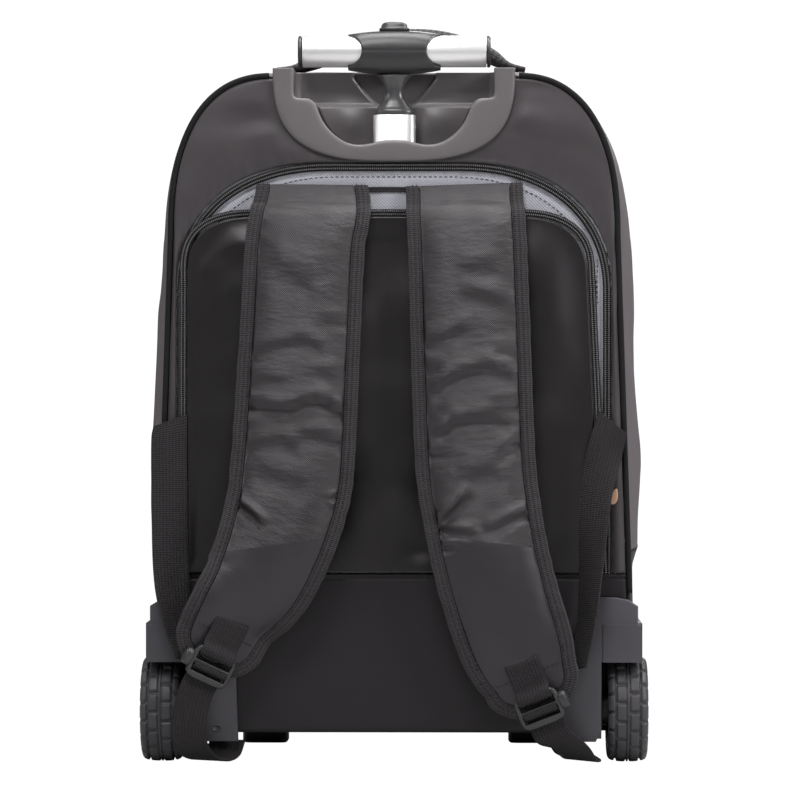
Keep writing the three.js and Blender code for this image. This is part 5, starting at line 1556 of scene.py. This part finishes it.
def stitchRow(side, fromEnd, reach):
    # A sewn line across the pad, near its end.
    frames = strapFrames(side, np.linspace(0, 1, 190))
    left = running(frames["centre"], False)
    index = int(np.argmin(np.abs(left[-1] - left - fromEnd)))
    half = frames["width"][index] / 2 - strap["binding"]
    edge = min(strap["bindingThick"], frames["thick"][index]) * 0.42
    crown = frames["thick"][index] / 2 - edge
    a = np.linspace(-reach, reach, 40)[:, None]
    line = frames["centre"][index] + frames["across"][index] * half * a
    line = line + frames["out"][index] * (edge + crown * (1 - np.abs(a) ** 3) + 0.0001)
    stitches = beadsAlong(f"pad_stitches_{side}", [line], 0.0031, (0.0022, 0.0006, 0.0006), (0, -1, 0),
                          "thread")
    placed(stitches, "bag", "pad_nylon", "thread")


def trim():
    height = 0.3997
    points = np.array([(x, backY + 0.0002, height) for x in (-0.055, -0.02, 0.015, 0.05)])
    flatWeb("strap_tape", points, np.repeat([(0, 0, 1.0)], 4, axis=0), 0.0036, 0.0011, 30)
    seam = np.array([(x, backY - 0.0003, 0.1301) for x in np.linspace(-0.158, 0.158, 60)])
    rim = archLine(-0.0068, 0.35)
    sewn = {"seam_stitches": seam, "lining_stitches": inSpace(rim, 0.0011)}
    for name, line in sewn.items():
        stitches = beadsAlong(name, [line], 0.0036, (0.0026, 0.0006, 0.0006), (0, -1, 0), "thread")
        placed(stitches, "bag", "zip_black", "thread")


def buckle(side):
    piece = copyOf(f"ladder_buckle_{side}", f"buckle_frame_{side}")
    rounded(piece, 0.0007, 3, 35)
    placed(piece, "bag", "black_plastic", "blackPlastic", f"ladder_buckle_{side}")
    end = strapEnd(side)
    outer = -1 if side == "left" else 1
    centre = buckleCentre(side) + end["across"] * outer * 0.0178 - end["out"] * 0.0012
    rows = []
    for place, size in ((-3.2, 0.3), (-3.0, 0.72), (-2.4, 0.93), (-1.2, 1), (1.2, 1), (2.4, 0.93),
                        (3.0, 0.72), (3.2, 0.3)):
        section = ovalSection(0.0122 * size, 0.0088 * size, 40, 2.4)
        rows.append(centre + end["across"] * place / 1000 + end["along"] * section[:, :1]
                    + end["out"] * section[:, 1:])
    knob = closedGrid(f"buckle_cheek_{side}", np.array(rows), closedAcross=True, capped=True)
    placed(knob, "bag", "black_plastic", "blackPlastic")


for side in ("left", "right"):
    webbing(side)
    stitchRow(side, 0.004, 0.85)
    buckle(side)
trim()
print("buckles and webbing ready")


# Zip puller on the right side: a slider and a leather leaf

def puller(look):
    x, z = look["x"], look["z"]
    turn = np.radians(look["turn"])
    angles = np.linspace(0, 2 * np.pi, 72, endpoint=False)
    length, width = look["length"] / 2, look["width"] / 2
    wide = width * np.sin(angles) * (1 - 0.38 * np.cos(angles))
    tall = length * np.cos(angles)
    loop = np.stack([x + wide * np.cos(turn) + tall * np.sin(turn), z - wide * np.sin(turn)
                     + tall * np.cos(turn)], 1)
    rows = []
    for size, depth in ((0.05, -0.0026), (0.6, -0.00262), (0.86, -0.00255), (0.96, -0.0023), (1, -0.0019),
                        (1, -0.0014),
                        (0.96, -0.0011), (0.05, -0.0010)):
        rows.append(inSpace(np.array((x, z)) + (loop - np.array((x, z))) * size, depth))
    leaf = closedGrid("puller_leaf", np.array(rows), closedAcross=True, capped=True)
    placed(leaf, "bag", "tan_leather", "tanLeather", "zip_puller")
    rows = []
    for size, depth in ((0.1, -0.0034), (0.7, -0.0034), (0.95, -0.0030), (1, -0.0022), (1, -0.0012)):
        section = ovalSection(0.0052 * size, 0.0082 * size, 32, 3)
        rows.append(inSpace(np.array((look["sliderX"], look["sliderZ"])) + section, depth))
    slider = closedGrid("puller_slider", np.array(rows), closedAcross=True, capped=True)
    placed(slider, "bag", "zip_black", "zipTeeth")


puller({"x": 0.1527, "z": 0.1865, "turn": 18, "length": 0.0115, "width": 0.0056, "sliderX": 0.1481,
        "sliderZ": 0.1985})


# Rolling gear

wheel = {"half": 14, "x": 0.1626, "y": backY + 0.027, "z": 0.037, "blocks": 17, "groove": 1.9,
         "profile": [(24, -0.86), (27, -0.95), (30.3, -1), (32.4, -0.995), (34.4, -0.94), (35.6, -0.84),
                     (36.4, -0.66),
                     (36.85, -0.4), (37, -0.15), (37, 0.15), (36.85, 0.4), (36.4, 0.66), (35.6, 0.84),
                     (34.4, 0.94),
                     (32.4, 0.995), (30.3, 1), (27, 0.95), (24, 0.86)],
         "rim": [(4.35, -18.2), (11.2, -18.2), (11.5, -17.9), (11.5, -4.4), (20.4, -4.2), (20.65, -4.6),
                 (20.65, -11.2),
                 (20.95, -11.48), (23.3, -11.48), (23.65, -11.1), (23.65, 11.1), (23.3, 11.48),
                 (20.95, 11.48),
                 (20.65, 11.2), (20.65, 4.6), (20.2, 4.2), (11.9, 4.2), (11.5, 4.6), (11.5, 9.3),
                 (11.1, 9.8), (4.35, 9.8)]}


def tyre(side, name):
    around = wheel["blocks"] * 20
    profile = threaded(np.array(wheel["profile"]), np.linspace(0, 1, 110))
    radius, along = profile[:, 0][None], profile[:, 1][None]
    angles = (np.arange(around) / around * 2 * np.pi)[:, None]
    turn = angles * wheel["blocks"] / (2 * np.pi)

    def block(offset, near, far):
        place = (turn + offset) % 1.0
        across = np.abs(along)
        inTurn = smoothStep(0.05, 0.13, place) * smoothStep(0.95, 0.87, place)
        return inTurn * smoothStep(near - 0.025, near + 0.035, across) * smoothStep(far + 0.03, far - 0.03,
                                                                                    across)

    inner = np.where(along < 0, block(0.0, 0.10, 0.56), block(0.5, 0.10, 0.56))
    outer = np.where(along < 0, block(0.5, 0.66, 1.2), block(0.0, 0.66, 1.2))
    shoulder = smoothStep(29.5, 31.5, radius)
    treads = np.maximum(np.maximum(inner, outer), smoothStep(0.05, 0.02, np.abs(along)))
    onTread = smoothStep(0.9, 0.86, np.abs(along)) + shoulder * smoothStep(0.86, 0.9, np.abs(along))
    depth = wheel["groove"] * (1 - treads) * np.clip(onTread, 0, 1)
    flat = np.gradient(profile * (1, wheel["half"]), axis=0)
    normal = unit(np.stack([flat[:, 1], -flat[:, 0]], 1))
    radius = radius - depth * normal[:, 0][None]
    along = along * wheel["half"] - depth * normal[:, 1][None]
    grid = np.stack(np.broadcast_arrays(along * side, radius * np.cos(angles), radius * np.sin(angles)),
                    -1) / 1000
    grid = grid + np.array((side * wheel["x"], wheel["y"], wheel["z"]))
    piece = closedGrid(f"tyre_body_{name}", grid, closedAcross=True, closedAlong=True)
    placed(piece, f"wheel_{name}", "tyre_rubber", "tyre", f"tyre_{name}")


def rim(side, name):
    profile = np.array(wheel["rim"])
    dense = evenly(np.vstack([profile, profile[:1]]), 0.7)[:-1]
    radius, along = dense[:, 0][None], dense[:, 1][None]
    angles = (np.arange(180) / 180 * 2 * np.pi)[:, None]
    spoke = smoothStep(-0.25, 0.25, np.cos(angles * 6))
    onDisc = smoothStep(11.7, 13, radius) * smoothStep(20.4, 19, radius)
    along = along - np.sign(along) * 1.6 * (1 - spoke) * onDisc
    grid = np.stack(np.broadcast_arrays(along * side, radius * np.cos(angles), radius * np.sin(angles)),
                    -1) / 1000
    grid = grid + np.array((side * wheel["x"], wheel["y"], wheel["z"]))
    piece = closedGrid(f"rim_body_{name}", grid, closedAcross=True, closedAlong=True)
    placed(piece, f"wheel_{name}", "black_plastic", "blackPlastic", f"wheel_rim_{name}")


def axle(side, name):
    rows = [(0, -24.6), (3.6, -24.6), (4, -24.2), (4, 10.15), (7, 10.15), (7, 11.4), (6.4, 12.1),
            (4.6, 12.5), (0, 12.55)]
    profile = [(r / 1000, side * along / 1000) for r, along in rows]
    piece = turnedAbout(f"axle_body_{name}", profile, 48, (side * wheel["x"], wheel["y"], wheel["z"]))
    placed(piece, "bag", "steel", "steel", f"axle_{name}")


def screwEye(side):
    # A small screw seat in the left housing's leg.
    rows = []
    for size, depth in ((1.45, -0.0064), (1.4, -0.00672), (1.15, -0.0069), (1, -0.0067), (0.9, -0.0062),
                        (0.82, -0.0050),
                        (0.1, -0.0049)):
        section = ovalSection(0.0052 * size, 0.0038 * size, 36, 2)
        rows.append(inSpace(np.array((side * 0.1228, 0.0255)) + section, depth))
    eye = linked("screw_seat", gridMesh("screw_seat", np.array(rows), closedAcross=True, capped=True))
    facing(eye.data, (0, -1, 0))
    placed(eye, "bag", "housing_plastic", "housingPlastic")


for side, name in ((1, "right"), (-1, "left")):
    tyre(side, name)
    rim(side, name)
    axle(side, name)
    housing = copyOf(f"wheel_housing_{name}", f"housing_body_{name}")
    rounded(housing, 0.0009, 3, 35)
    placed(housing, "bag", "housing_plastic", "housingPlastic", f"wheel_housing_{name}")
    foot = copyOf(f"front_foot_{name}", f"foot_body_{name}")
    rounded(foot, 0.0012, 3, 35)
    placed(foot, "bag", "black_plastic", "blackPlastic", f"front_foot_{name}")
screwEye(-1)
print("rolling gear ready")


# The hidden tube stays as the CAD model has it, with its own finish

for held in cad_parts["trolley_tube"].material_slots:
    held.material = finishes["postAluminium"]


def corners(box):
    return [[round(value, 5) for value in corner] for corner in box]
